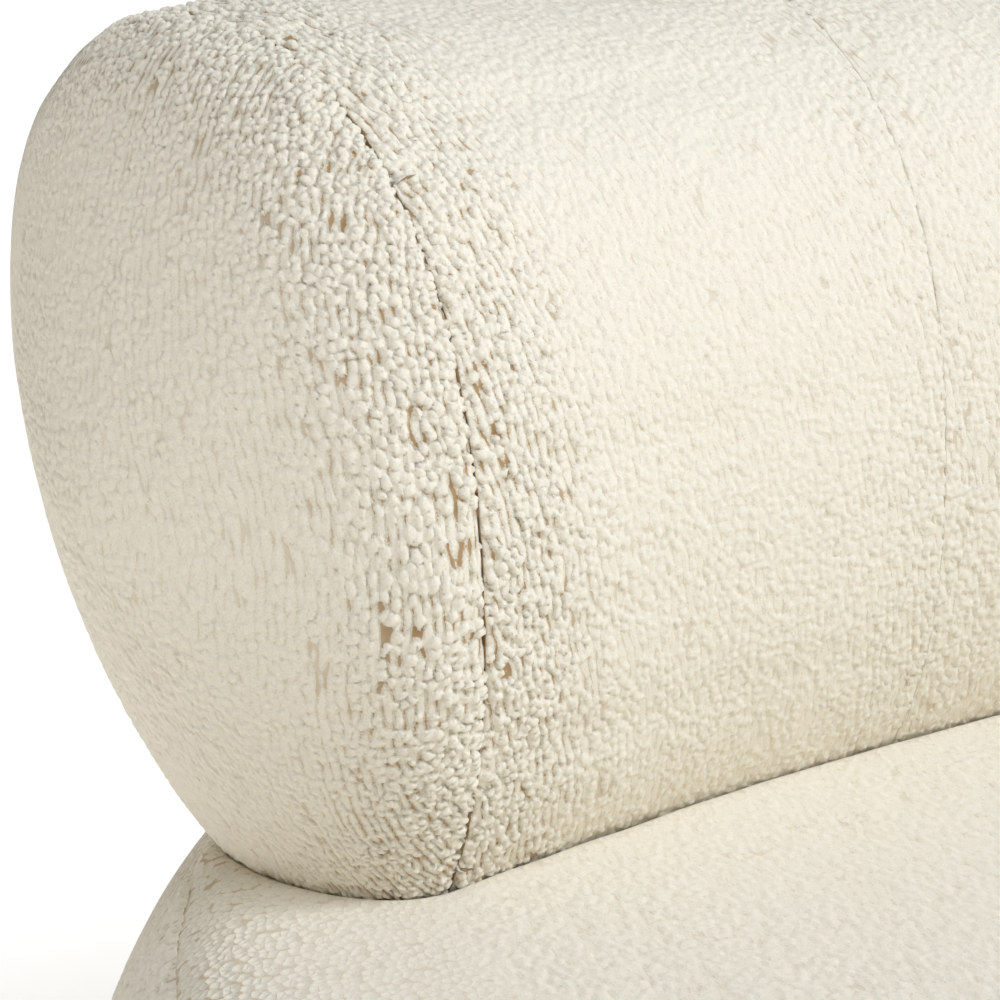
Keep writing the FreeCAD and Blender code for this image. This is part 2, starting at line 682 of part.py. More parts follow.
def back_fixings():
    """Bolts through the stiles and joists, with their nuts and washers."""
    rib, joist = D["rib_thickness"].value, D["cross_thickness"].value
    grip = rib + joist + D["rib_slack"].value
    near, far = -rib / 2, grip - rib / 2

    def disc(radius, thickness, start):
        return Part.makeCylinder(D[radius].value, thickness, Vector(start, 0, 0), Vector(1, 0, 0))

    high, thick = D["head_height"].value, D["washer_thickness"].value
    shank = disc("shank_radius", grip + D["thread_reach"].value, near)
    head = disc("head_radius", high, near - high)
    spoke = Vector(0, D["nut_radius"].value, 0)
    corners = [Rotation(Vector(1, 0, 0), 60 * k).multVec(spoke) for k in range(7)]
    nut = Part.Face(Part.makePolygon(corners)).extrude(Vector(D["nut_height"].value, 0, 0))
    nut.translate(Vector(far + thick, 0, 0))
    bore = disc("nut_bore", grip, far - thick)
    nut = nut.fuse(disc("washer_radius", thick, far)).cut(bore)
    places = []
    for turn in stile_turns():
        for height in (D["fixing_low"].value, D["fixing_high"].value):
            place = polar(ARC, D["fixing_reach"].value, turn.value, 0, height)
            half_turn = Rotation(Vector(0, 0, 1), 0 if turn.value > 0 else 180)
            places.append(place.multiply(Placement(Vector(0, 0, 0), half_turn)))
    copies("stile_bolts", shank.fuse(head), places)
    copies("stile_nuts", nut.removeSplitter(), places)


# ---------------------------------------------------------------- back upholstery

def dome(name, inset, scales):
    """A closed dome over the back's end section."""
    bulge = D["cap_bulge"].value - inset
    rings = []
    for number, scale in enumerate(scales):
        shift = -bulge * math.sqrt(1 - scale * scale)
        wire = section_face(inset, scale, shift).OuterWire
        rings.append(feature(f"{name}_ring{number}", wire))
    loft = doc.addObject("Part::Loft", name)
    loft.Sections = rings
    loft.Solid = True
    return loft


def end_pieces():
    """The padded, rounded ends of the back: foam and the egg-shaped cover panel."""
    cover, gap = D["cover"].value, D["gap"].value
    for side, sign in (("left", 1), ("right", -1)):
        shell = boolean("Part::Cut", f"shell_{side}", dome(f"outer_{side}", 0, CAP_SCALES),
                        dome(f"inner_{side}", cover, CAP_SCALES))
        plug = dome(f"plug_{side}", cover + gap, CAP_SCALES)
        for label, solid, floor in ((f"back_end_cap_{side}", shell, seat_floor.value),
                                    (f"back_end_foam_{side}", plug, board_top.value + gap)):
            room = Part.makeBox(400, 900, floor, Vector(-300, D["back_radius"].value - 400, 0))
            piece = boolean("Part::Cut", label, solid, feature(label + "_room", room))
            if sign < 0:
                original, piece = piece, doc.addObject("Part::Mirroring", label + "_mirrored")
                piece.Source = original
                piece.Base = Vector(0, 0, 0)
                piece.Normal = Vector(1, 0, 0)
                original.Label = label + "_original"
            stand(node(piece, label), ARC, turn=D["back_angle"] * sign)


def gore_turns():
    """Middle and width of each of the five cover panels of the back, left to right."""
    side = (D["back_angle"] - D["gore_end"]) * 2 / 3
    middles = [D["back_angle"] - D["gore_end"] / 2, side, as_size(0), -side,
               -(D["back_angle"] - D["gore_end"] / 2)]
    return list(zip(middles, (D["gore_end"], side, side, side, D["gore_end"])))


def back_upholstery():
    gap = D["gap"].value
    cover = section_face(0).cut(section_face(D["cover"].value)).cut(below(seat_floor.value))
    for number, (middle, width) in enumerate(gore_turns(), 1):
        label = f"back_cover_{number}"
        node(carried(label, cover.Faces[0], width, middle), label)
    floor = below(board_top.value + gap)
    wadding = section_face(D["wadding_inset"].value).cut(
        section_face(D["wadding_depth"].value)).cut(floor)
    node(carried("back_wadding", wadding.Faces[0], D["back_angle"] * 2), "back_wadding")
    groove = plate(D["stile_rear"].value - 4, D["stile_front"].value + 4,
                   board_top.value - 5, board_top.value + D["foot_height"].value + 4)
    foam = section_face(D["wadding_depth"].value + gap).cut(
        section_face(D["foam_depth"].value)).cut(floor).cut(groove)
    node(carried("back_foam", foam.Faces[0], D["back_angle"] * 2), "back_foam")
    underside = turned_body("back_bottom_cloth_blank", rectangle(
        D["back_radius"] - D["board_front"], D["back_radius"] + D["board_rear"],
        seat_floor, seat_floor + D["cloth_thickness"]), D["back_angle"] * 2)
    stand(underside, ARC)
    slots = stile_slots("cloth", seat_floor - 1, seat_floor + 4)
    node(boolean("Part::Cut", "back_bottom_cloth", underside, slots), "back_bottom_cloth")


# ---------------------------------------------------------------- build and write

def check_and_write():
    doc.recompute()
    for item in doc.Objects:
        if "Invalid" in item.State or "Error" in item.State:
            raise RuntimeError(f"{item.Label} failed: {item.State}")
    os.makedirs("parts", exist_ok=True)
    for item in nodes:
        shape = item.Shape
        if shape.isNull() or not shape.isValid() or shape.Volume <= 0:
            raise RuntimeError(f"{item.Label} has no sound shape")
        shape.exportStep(f"parts/{item.Label}.step")


seat_frame()
cross_rails()
rail_splices()
legs()
leg_hardware()
springs()
seat_upholstery()
back_frame()
back_webbing()
back_fixings()
end_pieces()
back_upholstery()
check_and_write()
print(len(nodes), "pieces")
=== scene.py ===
import json
import math

import bpy
import numpy as np
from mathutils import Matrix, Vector


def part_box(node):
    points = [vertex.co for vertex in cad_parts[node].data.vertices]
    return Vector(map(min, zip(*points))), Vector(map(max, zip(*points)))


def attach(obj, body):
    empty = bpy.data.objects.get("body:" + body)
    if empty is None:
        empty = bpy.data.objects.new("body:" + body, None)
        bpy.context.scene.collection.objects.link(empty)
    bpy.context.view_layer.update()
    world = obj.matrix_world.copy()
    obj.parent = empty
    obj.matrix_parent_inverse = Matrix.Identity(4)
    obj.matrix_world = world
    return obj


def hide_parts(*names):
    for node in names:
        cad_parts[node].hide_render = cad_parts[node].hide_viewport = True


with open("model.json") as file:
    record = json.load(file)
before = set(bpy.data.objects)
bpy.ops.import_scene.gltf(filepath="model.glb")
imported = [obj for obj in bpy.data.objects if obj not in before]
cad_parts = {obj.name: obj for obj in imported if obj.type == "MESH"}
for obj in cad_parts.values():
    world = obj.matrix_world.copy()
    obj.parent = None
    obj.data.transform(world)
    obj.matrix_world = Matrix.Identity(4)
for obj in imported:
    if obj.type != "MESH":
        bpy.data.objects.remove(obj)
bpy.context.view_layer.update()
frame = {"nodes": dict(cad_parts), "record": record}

MM = 0.001
FAR_OFF = 1e4  # a height that stands for nothing being there

# ------------------------------------------------------------------ the sofa's plan and sections, in mm
BACK_RADIUS = 2100.0
BACK_END = 30.65
SEAM_ANGLES = (-BACK_END, -23.02, -7.67, 7.67, 23.02, BACK_END)
BASE_BOARD_DEPTH = 16.0
PLAN_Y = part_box("back_base_board")[1].y / MM - BACK_RADIUS - BASE_BOARD_DEPTH

HALF_DEPTH = 145.0
HALF_HEIGHT = 201.0
BACK_MIDDLE = 602.6
SQUARENESS = 2.24
TOP_SWELL = 0.214
LEAN = 0.245
CAP_BULGE = 108.0
CAP_POWER = 1.08
CAP_TIP = 0.16

SEAT_RADIUS = 1778.0
SEAT_HALF = 485.0
SEAT_END = 21.35
SEAT_TOP = 430.0
SEAT_BOTTOM = 150.0
SEAT_CROWN = 15.0
CROWN_REACH = 20.0
BAND_BULGE = 47.0

CREASE_HEIGHT = SEAT_TOP + 1  # the back's underside is pressed flat here, on the seat
CREASE_SOFTNESS = 3.0

# ------------------------------------------------------------------ how the covers are sewn, in mm
SEAM_GAP = 0.8
TURN_IN = np.array((0.7, 1.6, 3.0, 5.5))  # depths of the rows of turned-in seam allowance
TURNED_ROWS = len(TURN_IN)
PILLOW = 3.2  # how far a panel stands out between its seams
END_SEAM, INNER_SEAM = 1.0, 0.14  # how strongly a seam pulls the back's cover in
EDGE_SEAM, BAND_SEAM = 0.8, 0.35
SEAT_LIVELINESS = 0.35  # how much taller the seat's loops get beside its edge seam
LEAN_OVER, LEAN_INNER = 0.08, 0.24  # how far loops lean over an end seam and over an inner one
LEAN_REACH = 1.6
SEAM_REACH, CAP_REACH, EDGE_REACH = 48, 55, 40  # how far from a seam the loops stand taller
CAP_CUT, BAND_CUT = 5000, 9000  # places on the cloth that the caps and bands are cut from
CLOTH_CELL = 18.0
CLOTH_FRAMES = 20
CLOTH_PRESSURE = 4.0

# ------------------------------------------------------------------ the boucle's yarn, in mm
NUB = 4.4  # cell of the loops
NUB_JITTER = 0.86
NUB_RADIUS = (2.15, 0.85)  # the least, and what the largest loop adds
NUB_HEIGHT = (1.55, 0.9)
NUB_FOOT = 0.5
CROWD, CROWD_SWING = 0.80, 0.45  # share of the cells that have a loop, and how far it swings
RIB = (4.3, 9.5)  # cell of the ground's ribs
RIB_JITTER = (0.12, 0.5)
RIB_WIDE, RIB_LONG = (1.78, 2.1), (6.0, 7.4)  # least and largest half width and half length
RIB_SHARE = 0.7
LIVELY = (0.36, 0.54)  # share of the full height far from a seam, and what a seam adds
WAVES = ((0.35, 23.0), (0.5, 71.0))  # height and length of the slow waves in the cloth
PATCHES = ((0.6, 13.0), (0.5, 31.0))  # strength and length of the thin and thick patches
CLOTH_TURN = 13.0  # degrees between the ribs and the seams
TABLE = 128
WIDEST_STEP = 1.6  # a mesh wider than this has its loops drawn by the material
FADE = 25.0
UNTOUCHED, TURNED = 99.0, -1.0  # values of the attribute that bares the turned-in rows, painting them dark tan: bare ground and painted shade in the seam


def signed_power(x, power):
    return np.sign(x) * np.abs(x) ** power


def section(t):
    """Depth in front of the back's centre line, and height, at angle t round the back's section."""
    rise = HALF_HEIGHT * signed_power(np.sin(t), 2 / SQUARENESS)
    swell = 1 + TOP_SWELL * rise / HALF_HEIGHT
    depth = HALF_DEPTH * swell * signed_power(np.cos(t), 2 / SQUARENESS) - LEAN * rise
    return depth, rise


def polar(radius, degrees):
    a = np.radians(degrees)
    return radius * np.sin(a), PLAN_Y + radius * np.cos(a)


def soft_floor(z, floor, softness):
    return floor + softness * np.logaddexp(0, (z - floor) / softness)


def soft_least(a, b, softness):
    return -softness * np.logaddexp(-a / softness, -b / softness)


def running_length(points):
    steps = np.linalg.norm(np.diff(points, axis=0), axis=1)
    return np.concatenate([[0], np.cumsum(steps)])


def graded(*runs):
    """Positions from zero along runs of (length, step), each run divided evenly."""
    at, here = [0.0], 0.0
    for length, step in runs:
        count = max(1, int(round(length / step)))
        at += [here + length * (i + 1) / count for i in range(count)]
        here += length
    return np.array(at)


def smooth_step(x, low, high):
    s = np.clip((x - low) / (high - low), 0, 1)
    return s * s * (3 - 2 * s)


# ------------------------------------------------------------------ shape of the back
ROUND = np.linspace(-math.pi / 2, 1.5 * math.pi, 4001)
_depth, _rise = section(ROUND)
_height = soft_floor(BACK_MIDDLE + _rise, CREASE_HEIGHT, CREASE_SOFTNESS)
LOOP = running_length(np.stack([_depth, _height], 1))
LOOP_LENGTH = LOOP[-1]


def back_point(degrees, t, share=1.0, out=0.0):
    """A point of the back's surface. On a cap it's shrunk to a share of the section and moved out."""
    end = np.clip(degrees, -BACK_END, BACK_END)
    depth, rise = section(t)
    x, y = polar(BACK_RADIUS - depth * share, end)
    side = np.sign(end)
    a = np.radians(end)
    x = x + out * side * np.cos(a)
    y = y - out * side * np.sin(a)
    z = soft_floor(BACK_MIDDLE + rise * share, CREASE_HEIGHT, CREASE_SOFTNESS)
    return np.stack(np.broadcast_arrays(x, y, z), -1)


def cap_out(share):
    """How far the end cap stands out where it has shrunk to this share."""
    round_tip = (share**2 + CAP_TIP**2) ** (CAP_POWER / 2)
    low, high = CAP_TIP**CAP_POWER, (1 + CAP_TIP**2) ** (CAP_POWER / 2)
    return CAP_BULGE * np.sqrt(np.clip(1 - (round_tip - low) / (high - low), 0, 1))


SHARES = np.sin(np.linspace(0, math.pi / 2, 801))
FRONT_LOW = ROUND <= 0
REAR_LOW = ROUND >= math.pi


def under_back(x, y):
    """Height of the back's underside above a point of the plan, or FAR_OFF where the back isn't above it."""
    dx, dy = x, y - PLAN_Y
    angle = np.degrees(np.arctan2(dx, dy))
    radius = np.hypot(dx, dy)
    end = np.radians(BACK_END)
    inside = np.abs(angle) <= BACK_END
    out = np.abs(dx) * math.cos(end) - dy * math.sin(end)
    along = np.abs(dx) * math.sin(end) + dy * math.cos(end)
    outs = cap_out(SHARES)
    share = np.interp(out, outs[::-1], SHARES[::-1])
    share = np.where(inside, 1.0, np.where(out > CAP_BULGE, 1e-3, share))
    depth = np.where(inside, BACK_RADIUS - radius, BACK_RADIUS - along)
    scaled = depth / share
    front = np.interp(scaled, _depth[FRONT_LOW], _rise[FRONT_LOW], left=np.nan, right=FAR_OFF)
    rear = np.interp(scaled, _depth[REAR_LOW], _rise[REAR_LOW], left=FAR_OFF, right=np.nan)
    rise = np.where(np.isnan(front), rear, front)
    away = (out > CAP_BULGE) & ~inside
    height = BACK_MIDDLE + rise * share
    return np.where(away | (rise > FAR_OFF / 2), FAR_OFF, height)


# ------------------------------------------------------------------ meshes from grids of points
def normals_of(points):
    du = np.gradient(points, axis=0)
    dv = np.gradient(points, axis=1)
    n = np.cross(du, dv)
    return n / np.maximum(np.linalg.norm(n, axis=-1, keepdims=True), 1e-9)


def grid_piece(name, points, fabric, wraps=False, attributes=None, flip=False):
    """A mesh of quads over a grid of points in mm. fabric is each point's place on the flat cloth, in mm."""
    rows, columns = points.shape[:2]
    used = columns - 1 if wraps else columns
    mesh = bpy.data.meshes.new(name)
    flat = points[:, :used].reshape(-1, 3) * MM
    mesh.vertices.add(len(flat))
    mesh.vertices.foreach_set("co", flat.astype(np.float32).ravel())
    i, j = np.meshgrid(np.arange(rows - 1), np.arange(columns - 1), indexing="ij")
    i, j = i.ravel(), j.ravel()
    corners = [(i, j), (i + 1, j), (i + 1, j + 1), (i, j + 1)]
    if flip:
        corners = corners[::-1]
    vertex = np.stack([a * used + b % used for a, b in corners], 1)
    mesh.loops.add(vertex.size)
    mesh.loops.foreach_set("vertex_index", vertex.ravel().astype(np.int32))
    mesh.polygons.add(len(vertex))
    mesh.polygons.foreach_set("loop_start", np.arange(0, vertex.size, 4, dtype=np.int32))
    mesh.update(calc_edges=True)
    spot = np.stack([a * columns + b for a, b in corners], 1).ravel()
    bake = np.stack(np.meshgrid(
        np.linspace(0.01, 0.99, rows), np.linspace(0.01, 0.99, columns), indexing="ij"), -1)
    for layer_name, values in (("OFBake", bake), ("fabric", fabric * MM)):
        layer = mesh.uv_layers.new(name=layer_name)
        layer.data.foreach_set("uv", values.reshape(-1, 2)[spot].astype(np.float32).ravel())
    for key, values in (attributes or {}).items():
        attribute = mesh.attributes.new(key, "FLOAT", "POINT")
        attribute.data.foreach_set("value", values[:, :used].ravel().astype(np.float32))
    mesh.shade_smooth()
    piece = bpy.data.objects.new(name, mesh)
    bpy.context.scene.collection.objects.link(piece)
    return piece


STITCH_DEPTH, STITCH_REACH = 1.5, 2.4
PUCKER_DEPTH, PUCKER_REACH, PUCKER_LENGTH = 0.8, 15, 11.0


def groove(away, weight, along):
    """How far the cover is pulled in right beside a seam, with small puckers along it."""
    places = np.stack(np.broadcast_arrays(along, 0 * away), -1)
    pucker = value_noise(places, PUCKER_LENGTH, TABLES[2], 4)
    return weight * (STITCH_DEPTH * np.exp(-((away / STITCH_REACH) ** 2))
                     + PUCKER_DEPTH * pucker * np.exp(-away / PUCKER_REACH))


def coarse_places(length, cell):
    wanted = np.arange(0, length[-1] - cell / 2, cell)
    return np.unique(np.append(np.searchsorted(length, wanted), len(length) - 1))


def puffed(points, held, flip, wraps=False):
    """How fully a panel stands out between its seams, 0 to 1, from a cloth simulation of a coarse copy."""
    lengths = [running_length(points[:, points.shape[1] // 3]),
               running_length(points[points.shape[0] // 3])]
    places = [coarse_places(length, CLOTH_CELL) for length in lengths]
    chosen = np.ix_(*places)
    coarse, pinned = points[chosen], np.array(held[chosen])
    pinned[[0, -1]] = True
    if not wraps:
        pinned[:, [0, -1]] = True
    used = slice(0, -1) if wraps else slice(None)
    sheet = grid_piece("panel_cloth", coarse, coarse[..., :2], wraps=wraps, flip=flip)
    group = sheet.vertex_groups.new(name="held")
    group.add(np.flatnonzero(pinned[:, used].ravel()).tolist(), 1.0, "REPLACE")
    cloth = sheet.modifiers.new("cloth", "CLOTH")
    cloth.settings.quality = 6
    cloth.settings.use_pressure = True
    cloth.settings.uniform_pressure_force = CLOTH_PRESSURE
    cloth.settings.vertex_group_mass = "held"
    cloth.settings.effector_weights.gravity = 0.0
    cloth.collision_settings.use_collision = False
    for frame_number in range(1, CLOTH_FRAMES + 1):
        bpy.context.scene.frame_set(frame_number)
    posed = sheet.evaluated_get(bpy.context.evaluated_depsgraph_get()).data
    ends = np.empty(len(posed.vertices) * 3, dtype=np.float32)
    posed.vertices.foreach_get("co", ends)
    start = coarse[:, used]
    moved = np.linalg.norm(ends.reshape(start.shape) / MM - start, axis=-1)
    if wraps:
        moved = np.concatenate([moved, moved[:, :1]], 1)
    mesh = sheet.data
    bpy.data.objects.remove(sheet)
    bpy.data.meshes.remove(mesh)
    bpy.context.scene.frame_set(1)
    share = np.tanh(moved / PILLOW)
    for axis, (length, place) in enumerate(zip(lengths, places)):
        share = np.apply_along_axis(lambda row: np.interp(length, length[place], row), axis, share)
    return share


# ------------------------------------------------------------------ relief of the boucle
def scatter_table(seed):
    return np.random.default_rng(seed).random((TABLE, TABLE, 6))


def neighbours(spots, cell, table):
    """The nine cells round each spot of the flat cloth: the cell's corner and its random numbers."""
    iu = np.floor(spots[..., 0] / cell[0]).astype(int)
    iv = np.floor(spots[..., 1] / cell[1]).astype(int)
    for du in (-1, 0, 1):
        for dv in (-1, 0, 1):
            yield iu + du, iv + dv, table[(iu + du) % TABLE, (iv + dv) % TABLE]


def ribs(spots, table):
    """The short ribs of the ground, one to a cell: height, 0 to 1, and mm inside the edge."""
    u, v = spots[..., 0] / RIB[0], spots[..., 1] / RIB[1]
    best = np.zeros(u.shape)
    inside = np.full(u.shape, -9.0)
    for iu, iv, r in neighbours(spots, RIB, table):
        x = (u - (iu + 0.5 + RIB_JITTER[0] * (r[..., 0] - 0.5))) * RIB[0]
        y = (v - (iv + 0.5 + RIB_JITTER[1] * (r[..., 1] - 0.5))) * RIB[1]
        grown = smooth_step(1 - r[..., 4], 0.0, 0.08) + 1e-3
        wide, long_ = (grown * (low + (high - low) * r[..., 3]) for low, high in (RIB_WIDE, RIB_LONG))
        reach = np.sqrt((x / wide) ** 2 + (y / long_) ** 2)
        best = np.maximum(best, np.sqrt(np.clip(1 - reach**2, 0, 1)) * wide / RIB_WIDE[1])
        inside = np.maximum(inside, (1 - reach) * wide)
    return best, inside


def cobbles(spots, table, crowd):
    """The nearest loop of yarn: mm to the next loop and to its own middle, its size, and if it's there."""
    places = []
    for iu, iv, r in neighbours(spots, (NUB, NUB), table):
        x = (iu + 0.5 + NUB_JITTER * (r[..., 0] - 0.5)) * NUB - spots[..., 0]
        y = (iv + 0.5 + NUB_JITTER * (r[..., 1] - 0.5)) * NUB - spots[..., 1]
        places.append((x, y, r[..., 3], r[..., 4]))
    places = np.array(places)
    squared = places[:, 0] ** 2 + places[:, 1] ** 2
    nearest = squared.argmin(0)[None]
    own = [np.take_along_axis(places[:, c], nearest, 0)[0] for c in range(4)]
    least = np.take_along_axis(squared, nearest, 0)[0]
    apart = np.hypot(places[:, 0] - own[0], places[:, 1] - own[1])
    edges = (squared - least) / (2 * np.maximum(apart, 1e-3))
    edges = np.where(apart < 1e-2, UNTOUCHED, edges).min(0)
    there = smooth_step(crowd - own[3], 0.0, 0.08)
    return edges, np.sqrt(least), own[2], there


def value_noise(spots, scale, table, channel=0):
    u, v = spots[..., 0] / scale, spots[..., 1] / scale
    iu, iv = np.floor(u).astype(int), np.floor(v).astype(int)
    fu, fv = u - iu, v - iv
    fu, fv = fu * fu * (3 - 2 * fu), fv * fv * (3 - 2 * fv)

    def at(a, b):
        return table[a % TABLE, b % TABLE, channel]

    low = at(iu, iv) * (1 - fu) + at(iu + 1, iv) * fu
    high = at(iu, iv + 1) * (1 - fu) + at(iu + 1, iv + 1) * fu
    return (low * (1 - fv) + high * fv) * 2 - 1


TABLES = [scatter_table(40 + k) for k in range(4)]


def turned_cloth(spots, degrees):
    c, s = math.cos(math.radians(degrees)), math.sin(math.radians(degrees))
    return np.stack([spots[..., 0] * c + spots[..., 1] * s, spots[..., 1] * c - spots[..., 0] * s], -1)


def fineness(points):
    """1 where the grid is close enough to carry the loops of yarn, and 0 where it's too wide."""
    share = 1
    for axis in (0, 1):
        step = np.linalg.norm(np.diff(points, axis=axis), axis=-1).max(1 - axis)
        wide = np.append(step, step[-1]) > WIDEST_STEP
        line = points[:, points.shape[1] // 2] if axis == 0 else points[points.shape[0] // 2]
        length = running_length(line)
        gap = np.full(len(length), UNTOUCHED)
        if wide.any():
            gap = np.abs(length[:, None] - length[None, wide]).min(1)
        ramp = smooth_step(gap, 0, FADE)
        share = share * (ramp[:, None] if axis == 0 else ramp[None, :])
    return share


BARE_HEIGHT = 0.8  # mean height of the relief, where the mesh is too wide to carry it


def boucle(spots, near_seam, meshed):
    """Relief of the cloth in mm, and mm inside the nearest loop, for points at these places on the cloth."""
    wave = sum(high * value_noise(spots, long, TABLES[2], c) for c, (high, long) in enumerate(WAVES))
    if not np.any(meshed):
        return wave + BARE_HEIGHT, 0 * wave
    drift = np.stack([value_noise(spots, 2.6, TABLES[3], c) for c in (0, 1)], -1)
    sway = np.stack([value_noise(spots, 8.0, TABLES[3], c) for c in (2, 3)], -1)
    patches = sum(strong * value_noise(spots, long, TABLES[2], c)
                  for c, (strong, long) in enumerate(PATCHES, 2))
    crowd = np.clip(CROWD + CROWD_SWING * patches, 0.05, 1.0)
    edges, middle, size, there = cobbles(spots + 0.8 * drift, TABLES[0], crowd)
    radius = NUB_RADIUS[0] + NUB_RADIUS[1] * size
    ball = np.sqrt(np.clip(1 - (middle / radius) ** 2, 0, 1))
    crease = np.sqrt(np.clip(1 - (1 - np.clip(edges / 1.3, 0, 1)) ** 2, 0, 1))
    full = NUB_FOOT + ball * (0.6 + 0.4 * crease) * (NUB_HEIGHT[0] + NUB_HEIGHT[1] * size)
    nubs = there * smooth_step(radius - middle, 0.0, 0.5) * full
    rib, in_rib = ribs(spots + 0.3 * drift + 1.3 * sway, TABLES[1])
    height = np.maximum(nubs, RIB_SHARE * rib) * (LIVELY[0] + LIVELY[1] * near_seam)
    in_nub = np.where(there > 0.5, np.minimum(radius - middle, edges + 0.25), -9)
    return height * meshed + BARE_HEIGHT * (1 - meshed) + wave, np.maximum(in_nub, in_rib)


# ------------------------------------------------------------------ materials
class Graph:
    """Short names for making nodes in one material."""

    def __init__(self, name):
        self.material = bpy.data.materials.new(name)
        self.material.use_nodes = True
        self.tree = self.material.node_tree
        self.tree.nodes.clear()
        out = self.node("OutputMaterial")
        self.shader = self.node("BsdfPrincipled")
        self.tree.links.new(self.shader.outputs[0], out.inputs[0])

    def node(self, kind, **settings):
        made = self.tree.nodes.new("ShaderNode" + kind)
        for key, value in settings.items():
            setattr(made, key, value)
        return made

    def feed(self, socket, value):
        if isinstance(value, bpy.types.NodeSocket):
            self.tree.links.new(value, socket)
        else:
            socket.default_value = value

    def math(self, operation, a, b=0.0):
        made = self.node("Math", operation=operation)
        for socket, value in zip(made.inputs, (a, b)):
            self.feed(socket, value)
        return made.outputs[0]

    def mix(self, share, a, b):
        made = self.node("Mix", data_type="RGBA")
        self.feed(made.inputs[0], share)
        self.feed(made.inputs[6], a)
        self.feed(made.inputs[7], b)
        return made.outputs[2]

    def noise(self, vector, scale, detail=2.0, roughness=0.5):
        made = self.node("TexNoise")
        self.feed(made.inputs["Vector"], vector)
        made.inputs["Scale"].default_value = scale
        made.inputs["Detail"].default_value = detail
        made.inputs["Roughness"].default_value = roughness
        return made.outputs[0]

    def voronoi(self, vector, feature):
        made = self.node("TexVoronoi", feature=feature, voronoi_dimensions="2D")
        self.feed(made.inputs["Vector"], vector)
        made.inputs["Scale"].default_value = 1.0
        made.inputs["Randomness"].default_value = 1.0
        return made.outputs["Distance"]

    def wave(self, axis, scale, distortion):
        made = self.node("TexWave", bands_direction=axis)
        self.feed(made.inputs["Vector"], self.node("TexCoord").outputs["Object"])
        made.inputs["Scale"].default_value = scale
        made.inputs["Distortion"].default_value = distortion
        return made.outputs["Fac"]

    def ramp(self, value, low, high, to_low=0.0, to_high=1.0):
        made = self.node("MapRange", interpolation_type="SMOOTHSTEP")
        self.feed(made.inputs[0], value)
        for k, number in enumerate((low, high, to_low, to_high)):
            made.inputs[k + 1].default_value = number
        return made.outputs[0]

    def stretched(self, vector, scale):
        made = self.node("Mapping")
        self.feed(made.inputs["Vector"], vector)
        made.inputs["Scale"].default_value = scale
        return made.outputs[0]

    def bump(self, height, distance, strength, normal=None):
        made = self.node("Bump")
        made.inputs["Strength"].default_value = strength
        made.inputs["Distance"].default_value = distance
        self.feed(made.inputs["Height"], height)
        if normal is not None:
            self.feed(made.inputs["Normal"], normal)
        return made.outputs[0]

    def attribute(self, name):
        return self.node("Attribute", attribute_name=name).outputs["Fac"]

    def place(self, scale):
        """The point's place in the object, in metres times scale."""
        return self.stretched(self.node("TexCoord").outputs["Object"], scale)

    def put(self, **values):
        """Sets sockets of the shader, named with an underscore for each space."""
        for key, value in values.items():
            self.feed(self.shader.inputs[key.replace("_", " ")], value)


def shade(r, g, b):
    return (r, g, b, 1)


def darker(colour, share):
    return shade(*(c * share for c in colour[:3]))


CREAM = shade(0.92, 0.865, 0.735)
CREAM_DEEP = shade(0.83, 0.73, 0.55)
GROUND_AND_SHADE = shade(0.44, 0.29, 0.15)
CALM = 0.14  # how much the bare ground and the painted shade between loops show away from the seams
WAVE_BANDS = 3.15  # bands a metre in a wave texture of scale 1; each stands for two threads


def boucle_material():
    """Looped cream yarn on a tan ground, with painted shade darkening the gaps between loops. A fine mesh
    carries its loops, and elsewhere they're drawn here.
    """
    g = Graph("boucle")
    mm = g.stretched(g.node("UVMap", uv_map="fabric").outputs[0], (1000, 1000, 1000))
    meshed, seam = g.attribute("meshed"), g.attribute("seam")
    wide = g.math("SUBTRACT", 1.0, meshed)
    fibre = g.noise(mm, 1.2, 3.0, 0.6)
    soft = g.noise(g.stretched(mm, (0.07, 0.07, 1)), 1.0, 2.0)
    cells = g.stretched(mm, (1 / NUB, 1 / NUB, 1))
    middle = g.math("MULTIPLY", g.voronoi(cells, "F1"), NUB)
    edge = g.math("MULTIPLY", g.voronoi(cells, "DISTANCE_TO_EDGE"), NUB)
    drawn = g.math("MINIMUM", g.math("SUBTRACT", 3.0, middle), g.math("ADD", edge, 0.25))
    inside = g.math("ADD", g.math("MULTIPLY", g.attribute("inside"), meshed),
                    g.math("MULTIPLY", drawn, wide))
    # painted shade: the turned-in seam rows are forced into the gaps' dark tan
    inside = g.math("MINIMUM", inside, g.attribute("bare_and_seam_shade"))
    rim = g.math("ADD", inside, g.math("MULTIPLY", g.math("SUBTRACT", fibre, 0.5), 1.1))
    loop = g.ramp(rim, -0.1, 0.8)
    ground_and_gap_shade = g.ramp(rim, 0.16, -0.3)
    shown = g.ramp(g.math("ADD", seam, g.math("MULTIPLY", soft, 0.3)), 0.0, 0.9, CALM, 1.0)
    # painted shade: the cream darkens towards CREAM_DEEP round and between the loops
    between = g.math("MULTIPLY", g.math("SUBTRACT", 1.0, loop), g.math("MULTIPLY", shown, 0.6))
    tone = g.mix(g.ramp(fibre, 0.25, 0.55), CREAM_DEEP, CREAM)
    tone = g.mix(between, tone, CREAM_DEEP)
    ball = g.math("MULTIPLY", g.ramp(middle, 2.7, 0.2), wide)
    height = g.math("ADD", g.math("MULTIPLY", ball, 1.6), g.math("MULTIPLY", loop, 0.6))
    rounded = g.bump(g.math("MULTIPLY", height, shown), 0.001, 0.8)
    # the gaps between loops take the dark tan, partly the real ground yarn and partly painted shade
    g.put(Base_Color=g.mix(g.math("MULTIPLY", ground_and_gap_shade, shown), tone, GROUND_AND_SHADE), Roughness=0.95,
          Specular_IOR_Level=0.15, Sheen_Weight=0.2, Sheen_Roughness=0.5,
          Normal=g.bump(fibre, 0.0003, 0.6, rounded))
    return g.material


